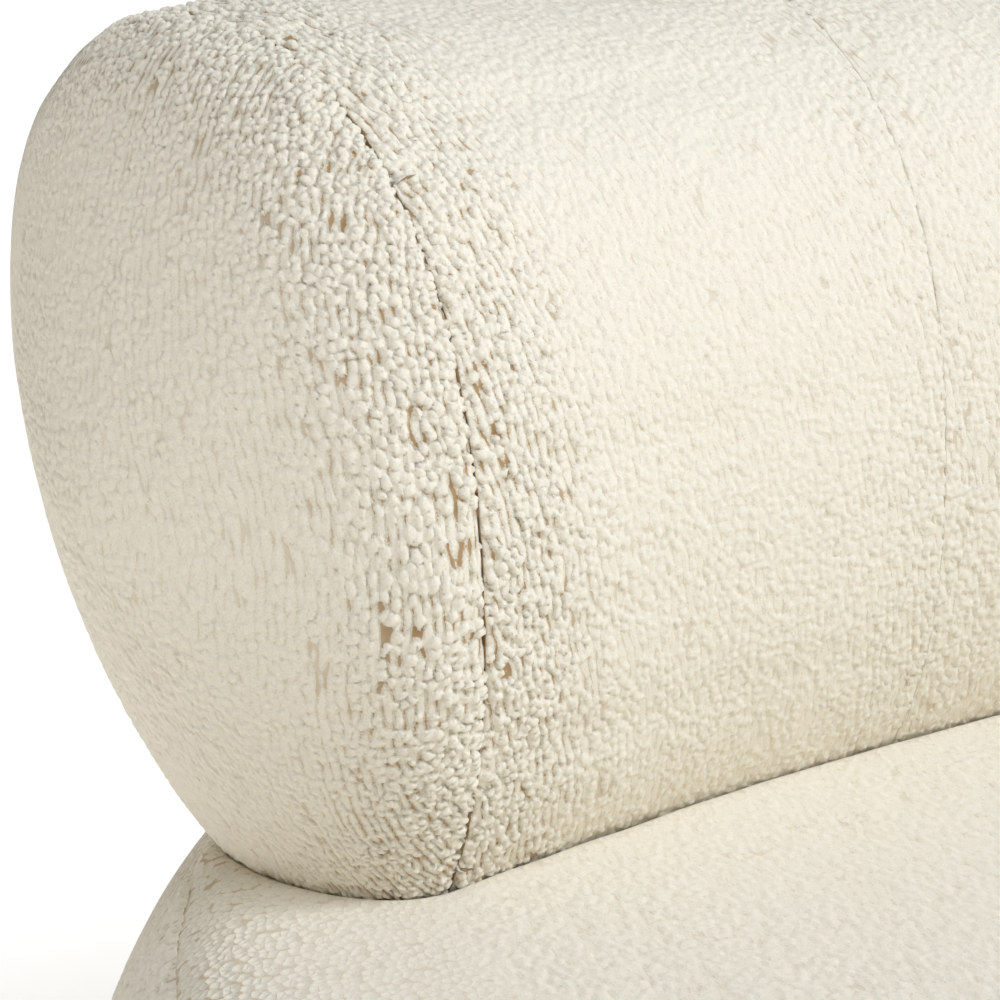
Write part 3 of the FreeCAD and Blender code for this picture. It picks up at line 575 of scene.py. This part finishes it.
def wood(name, light, dark, stretch, roughness, coat=0.0, layers=0.0):
    """Planed or stained wood, its grain along the axis whose stretch is small, with glued layers if asked."""
    g = Graph(name)
    broad = g.noise(g.place(tuple(14 * k for k in stretch)), 1.0, 3.0, 0.55)
    rings = g.math("FRACT", g.math("MULTIPLY", broad, 7.0))
    rings = g.math("ABSOLUTE", g.math("SUBTRACT", rings, 0.5))
    pores = g.noise(g.place(tuple(260 * k for k in stretch)), 1.0, 4.0, 0.7)
    pore = g.ramp(pores, 0.56, 0.7)
    tone = g.mix(g.ramp(rings, 0.05, 0.45), dark, light)
    tone = g.mix(g.math("MULTIPLY", pore, 0.55), tone, darker(dark, 0.45))
    if layers:
        plies = g.wave("Y" if stretch[1] >= 1 else "Z", layers, 0.6)
        tone = g.mix(g.ramp(plies, 0.8, 1.0, 0.0, 0.35), tone, dark)
    g.put(Base_Color=tone, Roughness=g.ramp(pores, 0.3, 0.8, roughness - 0.06, roughness + 0.12),
          Coat_Weight=coat, Coat_Roughness=0.35,
          Normal=g.bump(g.math("SUBTRACT", 1.0, pore), 0.0002, 0.5))
    return g.material


def metal(name, colour, roughness):
    g = Graph(name)
    cloud = g.noise(g.place((90, 90, 90)), 1.0, 4.0, 0.6)
    grain = g.noise(g.place((900, 900, 900)), 1.0)
    g.put(Base_Color=g.mix(g.ramp(cloud, 0.35, 0.65), darker(colour, 0.72), colour), Metallic=1.0,
          Roughness=g.ramp(cloud, 0.3, 0.7, roughness, roughness + 0.18),
          Normal=g.bump(grain, 0.00005, 0.4))
    return g.material


def moulded(name, colour):
    g = Graph(name)
    grain = g.noise(g.place((1600, 1600, 1600)), 1.0, 2.0)
    wear = g.noise(g.place((60, 60, 60)), 1.0, 3.0)
    scuffed = shade(*(min(1.0, c * 1.25 + 0.02) for c in colour[:3]))
    g.put(Base_Color=g.mix(g.ramp(wear, 0.5, 0.75), colour, scuffed),
          Roughness=g.ramp(wear, 0.3, 0.7, 0.38, 0.55), Normal=g.bump(grain, 0.00008, 0.6))
    return g.material


def woven(name, light, dark, threads, depth):
    """A plain weave of this many threads a metre, with slubs and loose fibres."""
    g = Graph(name)
    slub = g.noise(g.place((300, 300, 300)), 1.0, 3.0, 0.6)
    bands = [g.wave(axis, threads / (2 * WAVE_BANDS), 0.8) for axis in "XYZ"]
    weave = g.math("MAXIMUM", g.math("MAXIMUM", bands[0], bands[1]), bands[2])
    height = g.math("MULTIPLY", weave, g.ramp(slub, 0.2, 0.8, 0.7, 1.0))
    g.put(Base_Color=g.mix(g.ramp(height, 0.45, 0.95), dark, light), Roughness=0.92,
          Specular_IOR_Level=0.2, Sheen_Weight=0.1, Normal=g.bump(height, depth, 0.8))
    return g.material


BLACK = (shade(0.012, 0.012, 0.014), shade(0.004, 0.004, 0.005))
STAINED = (shade(0.105, 0.048, 0.021), shade(0.038, 0.016, 0.008))
PALE = (shade(0.62, 0.42, 0.23), shade(0.47, 0.29, 0.145))
materials = {
    "boucle": boucle_material(),
    "walnut_legs": wood("walnut_legs", *STAINED, (1, 1, 0.06), 0.34, coat=0.35),
    "beech": wood("beech", *PALE, (1, 0.08, 1), 0.55),
    "laminated_beech": wood("laminated_beech", *PALE, (0.08, 1, 1), 0.5, layers=55.0),
    "plywood": wood("plywood", *PALE, (0.3, 0.12, 1), 0.6, layers=90.0),
    "zinc_steel": metal("zinc_steel", shade(0.6, 0.61, 0.6), 0.3),
    "spring_steel": metal("spring_steel", shade(0.16, 0.16, 0.17), 0.4),
    "glide_nylon": moulded("glide_nylon", shade(0.02, 0.018, 0.016)),
    "clip_nylon": moulded("clip_nylon", shade(0.7, 0.68, 0.6)),
    "jute_webbing": woven("jute_webbing", shade(0.42, 0.28, 0.13), shade(0.2, 0.12, 0.05), 420, 0.0006),
    "black_cloth": woven("black_cloth", *BLACK, 900, 0.0002),
    "felt": woven("felt", shade(0.2, 0.185, 0.17), shade(0.11, 0.1, 0.09), 1500, 0.0004),
    "foam": woven("foam", shade(0.8, 0.7, 0.4), shade(0.6, 0.5, 0.25), 1300, 0.0004),
    "wadding": woven("wadding", shade(0.85, 0.85, 0.84), shade(0.6, 0.6, 0.6), 700, 0.0008),
}

# ------------------------------------------------------------------ covers of the back
FINE_STEP = 0.8  # spacing of points where the mesh carries the loops and is seen from near
WIDE_STEP = 4.0
REAR_FOOT, FINE_LENGTH = 40, 600  # lengths round the section, from its lowest point


def pad_turned(points, normals):
    """Adds the turned-in seam allowance along the two ends of the grid's first axis."""
    depths = TURN_IN[:, None, None]
    return np.concatenate([points[0] - normals[0] * depths[::-1], points, points[-1] - normals[-1] * depths])


def turned_in(shape, open_edge=False):
    """Pad widths for turned-in rows round a grid, and how deep each point of the padded grid lies.

    open_edge leaves the last edge of the second axis as it is."""
    last = 0 if open_edge else TURNED_ROWS
    depths = [np.concatenate([TURN_IN[::-1], np.zeros(count), TURN_IN[:kept]])
              for count, kept in zip(shape, (TURNED_ROWS, last))]
    return ((TURNED_ROWS, TURNED_ROWS), (TURNED_ROWS, last), (0, 0)), np.maximum.outer(*depths)


def back_rows(fine):
    """Places round the section: on a fine panel, close together on the front and top."""
    return graded((REAR_FOOT, WIDE_STEP), (FINE_LENGTH, FINE_STEP if fine else WIDE_STEP),
                  (LOOP_LENGTH - REAR_FOOT - FINE_LENGTH, WIDE_STEP))


def padded_values(widths, inside, near, meshed):
    """The numbers that the boucle's material reads at each point, with the turned-in rows marked as bare, so
    that they take the dark tan of bare ground and painted shade in the seam.
    """
    fill = {"inside": inside, "seam": near + 0 * inside, "meshed": meshed + 0 * inside}
    values = {key: np.pad(field, widths, mode="edge") for key, field in fill.items()}
    values["bare_and_seam_shade"] = np.pad(UNTOUCHED + 0 * inside, widths, constant_values=TURNED)
    return values


def lean_over(points, relief, away, sign, weight):
    """Lets the loops beside a seam lean over it, along the grid's first axis, and more over a slight seam."""
    along = np.gradient(points, axis=0)
    along /= np.maximum(np.linalg.norm(along, axis=-1, keepdims=True), 1e-9)
    share = LEAN_INNER + (LEAN_OVER - LEAN_INNER) * weight
    return points + sign * along * (share * relief * np.exp(-away / LEAN_REACH))[..., None]


def free_of_seat(z):
    """0 where the back is pressed on the seat, and 1 well above it."""
    return smooth_step(z, SEAT_TOP + 6, SEAT_TOP + 50)


def gore(name, first, last, columns, weights, fine):
    width = math.radians(last - first) * BACK_RADIUS
    gap_first, gap_last = (SEAM_GAP * weight for weight in weights)
    columns = columns / columns[-1] * (width - gap_first - gap_last) + gap_first
    angle = first + np.degrees(columns / BACK_RADIUS)
    rows = back_rows(fine)
    t = np.interp(rows, LOOP, ROUND)
    angles, ts = np.meshgrid(angle, t, indexing="ij")
    points = back_point(angles, ts)
    normals = normals_of(points)
    away_first, away_last = columns[:, None], (width - columns)[:, None]
    near = np.maximum(weights[0] * np.exp(-((away_first / SEAM_REACH) ** 2)),
                      weights[1] * np.exp(-((away_last / SEAM_REACH) ** 2))) + 0 * ts
    free = free_of_seat(points[..., 2])
    share = puffed(points, free <= 0, True, wraps=True)
    drop = (groove(away_first, weights[0], rows) + groove(away_last, weights[1], rows)
            + PILLOW * (1 - share) * free * np.interp(columns, [0, width], weights)[:, None])
    fabric = np.stack(np.meshgrid(columns, rows, indexing="ij"), -1)
    fabric[..., 0] += math.radians(first) * BACK_RADIUS
    fabric = turned_cloth(fabric, CLOTH_TURN)
    meshed = fineness(points)
    relief, inside = boucle(fabric, near, meshed)
    points = points - normals * drop[..., None]
    points = points + normals_of(points) * relief[..., None]
    points = lean_over(points, relief, away_first, -1, weights[0])
    points = lean_over(points, relief, away_last, 1, weights[1])
    points = pad_turned(points, normals)
    widths = ((TURNED_ROWS, TURNED_ROWS), (0, 0))
    values = padded_values(widths, inside, near, meshed)
    fabric = np.pad(fabric, (*widths, (0, 0)), mode="edge")
    fabric[:TURNED_ROWS, :, 0] -= TURN_IN[::-1, None]
    fabric[-TURNED_ROWS:, :, 0] += TURN_IN[:, None]
    return grid_piece(name, points, fabric, wraps=True, attributes=values, flip=True)


CAP_RADII = np.linspace(140, 220, 17)  # for each, a table of the cap's share at a length from its middle


def cap(name, side, steps):
    """The bulging end of the back: one oval panel eased onto the end seam."""
    a, b = np.meshgrid(*steps, indexing="ij")
    p, q = a * np.sqrt(1 - b**2 / 2), b * np.sqrt(1 - a**2 / 2)
    reach = np.clip(np.hypot(p, q), 0, 1)
    t = np.arctan2(q, p)
    depth, rise = section(t)
    radius = np.hypot(depth, rise)
    outs = cap_out(SHARES)
    tables = []
    for r in CAP_RADII:
        length = running_length(np.stack([SHARES * r, outs], 1))
        tables.append(np.stack([length[-1] * np.ones_like(SHARES), np.interp(
            np.linspace(0, 1, len(SHARES)), length / length[-1], SHARES)]))
    tables = np.array(tables)
    which = np.clip((radius - CAP_RADII[0]) / (CAP_RADII[1] - CAP_RADII[0]), 0, len(CAP_RADII) - 1.001)
    k, f = which.astype(int), which % 1
    spot = reach * (len(SHARES) - 1)
    m = np.clip(spot.astype(int), 0, len(SHARES) - 2)
    g = spot - m
    share = 0
    for kk, weight in ((k, 1 - f), (k + 1, f)):
        share = share + weight * (tables[kk, 1, m] * (1 - g) + tables[kk, 1, m + 1] * g)
    meridian = tables[k, 0, 0] * (1 - f) + tables[k + 1, 0, 0] * f
    points = back_point(side * BACK_END + 0 * t, t, share, cap_out(share) + SEAM_GAP)
    normals = -side * normals_of(points)
    away = (1 - reach) * meridian
    near = np.exp(-((away / CAP_REACH) ** 2))
    fabric = np.stack([reach * meridian * np.cos(t), reach * meridian * np.sin(t)], -1)
    fabric = turned_cloth(fabric, -side * CLOTH_TURN / 2)
    meshed = fineness(points)
    relief, inside = boucle(fabric + CAP_CUT * side, near, meshed)
    share_out = puffed(points, points[..., 2] < SEAT_TOP + 6, side < 0)
    free = free_of_seat(points[..., 2])
    drop = groove(away, END_SEAM, 170 * t) + PILLOW * (1 - share_out) * free
    points = points - normals * drop[..., None]
    points = points - side * normals_of(points) * relief[..., None]
    end = math.radians(BACK_END)
    inward = np.array([-side * math.cos(end), math.sin(end), 0])
    points = points + inward * (LEAN_OVER * relief * np.exp(-away / LEAN_REACH))[..., None]
    widths, extra = turned_in(t.shape)
    points = np.pad(points, widths, mode="edge") - np.pad(normals, widths, mode="edge") * extra[..., None]
    fabric = np.pad(fabric, widths, mode="edge") * (1 + extra / 200)[..., None]
    values = padded_values(widths[:2], inside, near, meshed)
    return grid_piece(name, points, fabric, attributes=values, flip=side < 0)


def spread(lengths, total_low, total_high):
    """Maps graded positions onto total_low..total_high."""
    return total_low + (total_high - total_low) * lengths / lengths[-1]


END_GORE, FULL_GORE = 282, 562
gore_columns = [
    graded((150, 0.75), (END_GORE - 150, 1.0)),
    graded((140, 1.0), (FULL_GORE - 140, WIDE_STEP)),
    graded((FULL_GORE, WIDE_STEP)),
    graded((FULL_GORE, WIDE_STEP)),
    graded((END_GORE, WIDE_STEP)),
]
covers = []
for k in range(5):
    weights = (END_SEAM if k == 0 else INNER_SEAM, END_SEAM if k == 4 else INNER_SEAM)
    piece = gore(f"back_cover_panel_{k + 1}", SEAM_ANGLES[k], SEAM_ANGLES[k + 1], gore_columns[k],
                 weights, k < 2)
    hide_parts(f"back_cover_{k + 1}", "back_foam", "back_wadding", "back_bottom_cloth")
    covers.append(piece)
fine_cap = (spread(graded((110, 3.5), (270, FINE_STEP)), -1, 1), spread(graded((470, FINE_STEP)), -1, 1))
wide_cap = (spread(graded((380, WIDE_STEP)), -1, 1), spread(graded((470, WIDE_STEP)), -1, 1))
for side, steps in ((-1, fine_cap), (1, wide_cap)):
    label = "left" if side < 0 else "right"
    piece = cap(f"back_end_panel_{label}", side, steps)
    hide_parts(f"back_end_cap_{label}", f"back_end_foam_{label}")
    covers.append(piece)


# ------------------------------------------------------------------ shape and covers of the seat
def seat_plan(s, v):
    """A point of the seat's plan. |s| up to 1 runs round the middle, and from 1 to 2 over a rounded end."""
    angle = np.clip(s, -1, 1) * SEAT_END
    end = np.clip(np.abs(s) - 1, 0, 1)
    out = SEAT_HALF * end * np.sqrt(1 - v**2 / 2)
    across = SEAT_HALF * v * np.sqrt(1 - end**2 / 2)
    x, y = polar(SEAT_RADIUS + across, angle)
    a = np.radians(angle)
    side = np.sign(s)
    return x + out * side * np.cos(a), y - out * side * np.sin(a), end, out, across


def edge_distance(end, out, across):
    return np.where(end > 0, SEAT_HALF - np.hypot(out, across), SEAT_HALF - np.abs(across))


def seat_height(x, y, away):
    crown = SEAT_TOP + SEAT_CROWN * (1 - np.exp(-np.maximum(away, 0) / CROWN_REACH))
    under = under_back(x, y)
    under = np.where(under > FAR_OFF / 2, FAR_OFF, np.maximum(under, CREASE_HEIGHT))
    return soft_least(crown, under - 2.0, 3.5)


SEAT_FINE_STEP = 1.25


def seat_top(name):
    near_end, far_end = (spread(graded((480, step)), 0, 1) for step in (SEAT_FINE_STEP, WIDE_STEP))
    middle = spread(graded((60, 1.3), (math.radians(2 * SEAT_END) * SEAT_RADIUS - 60, WIDE_STEP)), -1, 1)
    s = np.concatenate([-1 - near_end[:0:-1], middle, 1 + far_end[1:]])
    v = spread(graded((380, 3.0), (370, SEAT_FINE_STEP), (210, WIDE_STEP)), -1, 1)
    s, v = np.meshgrid(s, v, indexing="ij")
    x, y, end, out, across = seat_plan(s, v)
    away = edge_distance(end, out, across)
    z = seat_height(x, y, away)
    points = np.stack([x, y, z], -1)
    normals = normals_of(points)
    normals *= np.sign(normals[..., 2:3])
    fabric = np.stack([x, y], -1)
    near = SEAT_LIVELINESS * np.exp(-((away / EDGE_REACH) ** 2))
    meshed = fineness(points)
    relief, inside = boucle(fabric, near, meshed)
    room = under_back(x, y) - SEAT_TOP - SEAT_CROWN
    free = smooth_step(room, 5, 40)
    share = puffed(points, free <= 0, True)
    drop = groove(away, EDGE_SEAM, x + y) + PILLOW * (1 - share) * free
    points = points + normals * (relief - drop)[..., None]
    widths, extra = turned_in(s.shape)
    points = np.pad(points, widths, mode="edge")
    points[..., 2] -= extra
    fabric = np.pad(fabric, widths, mode="edge")
    values = padded_values(widths[:2], inside, near, meshed)
    return grid_piece(name, points, fabric, attributes=values, flip=True)


top = seat_top("seat_top_panel")
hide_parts("seat_top_cover", "seat_wadding", "seat_foam", "spring_pad")


BAND_STEP, BAND_WIDE_STEP = 1.25, 3.5
BAND_FINE_LENGTH = 150  # the part of the profile, from its top, that the photo's side shows


def band_profile(fine):
    """The side band from its top seam, over the bulge and under the frame: length, way out, and height."""
    z = np.linspace(0, 1, 801)
    middle = (SEAT_TOP + SEAT_BOTTOM) / 2
    half = (SEAT_TOP - SEAT_BOTTOM) / 2
    height = SEAT_TOP - 2 * half * z
    bulge = BAND_BULGE * np.clip(1 - np.abs((height - middle) / half) ** 3, 0, 1)
    tuck = np.linspace(0, 1, 60)[1:]
    out = np.concatenate([bulge, -28 * tuck])
    down = np.concatenate([height, SEAT_BOTTOM + 1.5 * tuck])
    length = running_length(np.stack([out, down], 1))
    at = graded((BAND_FINE_LENGTH, BAND_STEP if fine else BAND_WIDE_STEP),
                (length[-1] - BAND_FINE_LENGTH, BAND_WIDE_STEP))
    return at, np.interp(at, length, out), np.interp(at, length, down)


def outline(kind, at):
    """Point and outward direction of the seat's outline at a length along one of its four sides."""
    end = math.radians(SEAT_END)
    if kind in ("front", "rear"):
        sign = -1 if kind == "front" else 1
        radius = SEAT_RADIUS + sign * SEAT_HALF
        angle = at / radius - end
        x, y = radius * np.sin(angle), PLAN_Y + radius * np.cos(angle)
        return x, y, sign * np.sin(angle), sign * np.cos(angle)
    side = -1 if kind == "left" else 1
    cx, cy = polar(SEAT_RADIUS, side * SEAT_END)
    turn = at / SEAT_HALF
    a = side * end
    nx = -np.cos(turn) * np.sin(a) + np.sin(turn) * side * np.cos(a)
    ny = -np.cos(turn) * np.cos(a) - np.sin(turn) * side * np.sin(a)
    return cx + SEAT_HALF * nx, cy + SEAT_HALF * ny, nx, ny


def band(name, kind, at, fine=False):
    profile, out, down = band_profile(fine)
    length = at[-1]
    at = SEAM_GAP + at * (length - 2 * SEAM_GAP) / length
    x, y, nx, ny = outline(kind, at)
    points = np.stack([
        x[:, None] + nx[:, None] * (out + SEAM_GAP), y[:, None] + ny[:, None] * (out + SEAM_GAP),
        np.broadcast_to(down, (len(at), len(down)))], -1)
    normals = normals_of(points)
    facing = (normals[:, len(down) // 2] * np.stack([nx, ny, 0 * nx], -1)).sum(-1).mean()
    normals *= np.sign(facing)
    fabric = np.stack(np.meshgrid(at, -profile, indexing="ij"), -1)
    away_top = profile[None, :]
    away_end = np.minimum(at, length - at)[:, None]
    near = SEAT_LIVELINESS * np.exp(-((away_top / EDGE_REACH) ** 2)) + 0 * away_end
    meshed = fineness(points)
    relief, inside = boucle(fabric + BAND_CUT, near, meshed)
    hold = 1 - smooth_step(profile, profile[-1] - 40, profile[-1] - 20)
    held = down[None, :] + 0 * away_end < SEAT_BOTTOM + 3
    share = puffed(points, held, facing < 0)
    drop = (groove(away_top, EDGE_SEAM, at[:, None]) + groove(away_end, BAND_SEAM, profile[None, :])
            + PILLOW * (1 - share) * np.where(away_top < away_end, 1.0, 0.5))
    points = points + normals * ((relief - drop) * hold)[..., None]
    widths, extra = turned_in(relief.shape, open_edge=True)
    points = np.pad(points, widths, mode="edge") - np.pad(normals, widths, mode="edge") * extra[..., None]
    fabric = np.pad(fabric, widths, mode="edge")
    values = padded_values(widths[:2], inside, near, meshed)
    return grid_piece(name, points, fabric, attributes=values, flip=facing < 0)


FRONT_LENGTH = math.radians(2 * SEAT_END) * (SEAT_RADIUS - SEAT_HALF)
REAR_LENGTH = math.radians(2 * SEAT_END) * (SEAT_RADIUS + SEAT_HALF)
END_LENGTH = math.pi * SEAT_HALF
bands = [
    band("seat_band_front", "front", graded((FRONT_LENGTH, WIDE_STEP))),
    band("seat_band_rear", "rear", graded((REAR_LENGTH, WIDE_STEP))),
    band("seat_band_left", "left",
         graded((740, WIDE_STEP), (320, BAND_STEP), (END_LENGTH - 1060, WIDE_STEP)), True),
    band("seat_band_right", "right", graded((END_LENGTH, WIDE_STEP))),
]
for piece in bands:
    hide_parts("seat_side_band", "side_foam")

for piece in covers + [top] + bands:
    piece.data.materials.append(materials["boucle"])
    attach(piece, "root")

# ------------------------------------------------------------------ springs and the cloth under the seat
RAIL_MIDDLE = 24.5
SPRING_TURNS = [18.5 / 6 * k for k in (-5, -4, -3, -1, 0, 1, 3, 4, 5)]  # degrees round the middle
SPRING_SHIFTS = (0, 100, 200, 290)  # mm past the middle, in each rounded end
SPRING_TAIL = 34.0
SPRING_PITCH = 28.0
SPRING_WIDE = 24.0
WIRE_RADIUS = 1.9


def zigzag(length):
    """A flat zigzag of wire along Y: a tail, bars joined by half turns, and a tail."""
    bars = 2 * round((length - 2 * SPRING_TAIL) / SPRING_PITCH / 2) + 1
    pitch = (length - 2 * SPRING_TAIL) / bars
    radius = pitch / 2
    line = [(0, 0), (0, SPRING_TAIL)]
    for bar in range(bars):
        side = 1 if bar % 2 == 0 else -1
        y = SPRING_TAIL + pitch * (bar + 0.5)
        if bar == bars - 1:
            line += [(-side * radius, y), (-side * 0.3 * radius, y + 0.3 * radius)]
            break
        for turn in (-90, -45, 0, 45, 90):
            a = math.radians(turn)
            line.append((side * (SPRING_WIDE - radius + radius * math.cos(a)),
                         y + radius + radius * math.sin(a)))
    line += [(0, SPRING_TAIL + pitch * bars), (0, length)]
    return line


def springs():
    """The row of zigzag springs that the seat's foam lies on, as bevelled curves."""
    low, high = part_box("seat_springs")
    curve = bpy.data.curves.new("zigzag_springs", "CURVE")
    curve.dimensions = "3D"
    curve.bevel_depth = WIRE_RADIUS * MM
    curve.bevel_resolution = 1
    reach = SEAT_HALF - RAIL_MIDDLE
    places = [(0.0, PLAN_Y, turn, 0, SEAT_RADIUS - reach, 2 * reach) for turn in SPRING_TURNS]
    for side in (-1, 1):
        for shift in SPRING_SHIFTS:
            half = math.sqrt(reach**2 - shift**2)
            middle = polar(SEAT_RADIUS, side * SEAT_END)
            places.append((*middle, side * SEAT_END, side * shift, -half, 2 * half))
    for px, py, turn, aside, start, length in places:
        c, s = math.cos(math.radians(turn)), math.sin(math.radians(turn))
        line = [(aside + x, start + y) for x, y in zigzag(length)]
        spline = curve.splines.new("POLY")
        spline.points.add(len(line) - 1)
        for point, (x, y) in zip(spline.points, line):
            point.co = ((px + x * c + y * s) * MM, (py - x * s + y * c) * MM, (low.z + high.z) / 2, 1)
        spline.use_smooth = True
    piece = bpy.data.objects.new("zigzag_springs", curve)
    bpy.context.scene.collection.objects.link(piece)
    curve.materials.append(materials["spring_steel"])
    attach(piece, "root")
    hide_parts("seat_springs")


springs()
CLOTH_INSET = 5.0
CLOTH_SAG = 7.0
CLOTH_STEP = 12
LEGS = [f"leg_{row}_{place}" for row in ("front", "rear") for place in ("left", "centre", "right")]


def under_cloth():
    """The black cloth stapled under the seat, pinched at the legs and sagging a little between the rails."""
    half = SEAT_HALF - CLOTH_INSET
    ends = spread(graded((480, CLOTH_STEP)), 0, 1)
    middle = spread(graded((math.radians(2 * SEAT_END) * SEAT_RADIUS, CLOTH_STEP)), -1, 1)
    s = np.concatenate([-1 - ends[:0:-1], middle, 1 + ends[1:]])
    s, v = np.meshgrid(s, spread(graded((960, CLOTH_STEP)), -1, 1), indexing="ij")
    x, y, end, out, across = seat_plan(s, v)
    angle = np.radians(np.clip(s, -1, 1) * SEAT_END)
    scale = half / SEAT_HALF
    cx, cy = SEAT_RADIUS * np.sin(angle), PLAN_Y + SEAT_RADIUS * np.cos(angle)
    x, y = cx + (x - cx) * scale, cy + (y - cy) * scale
    away = edge_distance(end, out, across)
    free = 1 - np.exp(-((np.maximum(away - 40, 0) / 90) ** 2))
    for name in LEGS:
        low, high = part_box(name)
        reach = np.hypot(x - (low.x + high.x) / 2 / MM, y - (low.y + high.y) / 2 / MM)
        free = free * smooth_step(reach, 45, 190)
    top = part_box("dust_cover")[1].z / MM - 0.5
    ripple = value_noise(np.stack([x, y], -1), 120.0, TABLES[3], 3)
    z = top - free * CLOTH_SAG * (1 + 0.5 * ripple)
    points = np.stack([x, y, z], -1)
    piece = grid_piece("dust_cover_cloth", points, np.stack([x, y], -1))
    piece.data.materials.append(materials["black_cloth"])
    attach(piece, "root")
    end = math.radians(SEAT_END)
    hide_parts("dust_cover")


under_cloth()
SLOT_OF = {row["node"]: row["material_slot"] for row in frame["record"]["subparts"]}
for name, piece in frame["nodes"].items():
    piece.data.materials.clear()
    piece.data.materials.append(materials[SLOT_OF[name]])

# ------------------------------------------------------------------ floor, lights and camera
FLOOR_HALF = 30.0
FLOOR_GLOW = ((2.0, 5.0, 0.53, 0.7), (6.0, 12.0, 0.0, 0.3))  # metres away, from and to, and strengths there
SKY_GLOW = ((0.04, 0.2, 0.58, 0.25), (0.05, 0.07, 0.62, 0.0))  # heights, from and to, and strengths there
WARM = shade(1, 0.955, 0.88)
COOL = (0.83, 0.895, 1.0)
LAMPS = (  # name, direction, metres away, size, power
    ("key", (math.cos(math.radians(36)), -0.17, math.sin(math.radians(36))), 12.0, 3.84, 650),
    ("fill", (0.22, -0.38, 0.9), 10.0, 6.0, 415),
)
LIT_POINT = Vector((-0.8, 0.0, 0.5))
CAMERA_PLACE = (-1.13797, PLAN_Y * MM + 0.75131, 0.94964)
CAMERA_PITCH = 18.85
CAMERA_HEADING = (0.155, 0.988)
CAMERA_LENS = 89.17


def stage_floor():
    mesh = bpy.data.meshes.new("floor")
    corners = [(x * FLOOR_HALF, y * FLOOR_HALF, 0) for x, y in ((-1, -1), (1, -1), (1, 1), (-1, 1))]
    mesh.from_pydata(corners, [], [(0, 1, 2, 3)])
    piece = bpy.data.objects.new("floor", mesh)
    bpy.context.scene.collection.objects.link(piece)
    g = Graph("floor")
    reach = g.node("VectorMath", operation="LENGTH")
    g.feed(reach.inputs[0], g.node("TexCoord").outputs["Object"])
    near, far = (g.ramp(reach.outputs["Value"], *numbers) for numbers in FLOOR_GLOW)
    g.put(Base_Color=shade(0.85, 0.85, 0.85), Roughness=0.9, Specular_IOR_Level=0.0,
          Emission_Color=shade(1, 0.975, 0.93), Emission_Strength=g.math("ADD", near, far))
    mesh.materials.append(g.material)


def studio():
    """A warm light from all round, white at the horizon, and dimmer above."""
    world = bpy.data.worlds.new("studio")
    bpy.context.scene.world = world
    world.use_nodes = True
    nodes, links = world.node_tree.nodes, world.node_tree.links
    nodes["Background"].inputs[0].default_value = WARM
    height = nodes.new("ShaderNodeSeparateXYZ")
    links.new(nodes.new("ShaderNodeTexCoord").outputs["Generated"], height.inputs[0])
    glow = nodes.new("ShaderNodeMath")
    for place, numbers in enumerate(SKY_GLOW):
        fade = nodes.new("ShaderNodeMapRange")
        for socket, number in zip(list(fade.inputs)[1:5], numbers):
            socket.default_value = number
        links.new(height.outputs["Z"], fade.inputs[0])
        links.new(fade.outputs[0], glow.inputs[place])
    links.new(glow.outputs[0], nodes["Background"].inputs[1])


def lamp(name, direction, distance, size, power):
    data = bpy.data.lights.new(name, "AREA")
    data.shape = "DISK"
    data.size = size
    data.energy = power
    data.color = COOL
    made = bpy.data.objects.new(name, data)
    bpy.context.scene.collection.objects.link(made)
    toward = Vector(direction).normalized()
    made.location = LIT_POINT + toward * distance
    made.rotation_euler = (-toward).to_track_quat("-Z", "Y").to_euler()


stage_floor()
studio()
for row in LAMPS:
    lamp(*row)

camera_data = bpy.data.cameras.new("camera")
camera_data.sensor_width = 36
camera_data.lens = CAMERA_LENS
camera_data.clip_start = 0.05
camera_data.clip_end = 200
camera = bpy.data.objects.new("camera", camera_data)
bpy.context.scene.collection.objects.link(camera)
camera.location = CAMERA_PLACE
pitch = math.radians(CAMERA_PITCH)
yaw = math.atan2(*CAMERA_HEADING)
look = Vector((math.sin(yaw) * math.cos(pitch), math.cos(yaw) * math.cos(pitch), -math.sin(pitch)))
camera.rotation_euler = look.to_track_quat("-Z", "Y").to_euler()
bpy.context.scene.camera = camera
bpy.context.scene.view_settings.view_transform = "Standard"
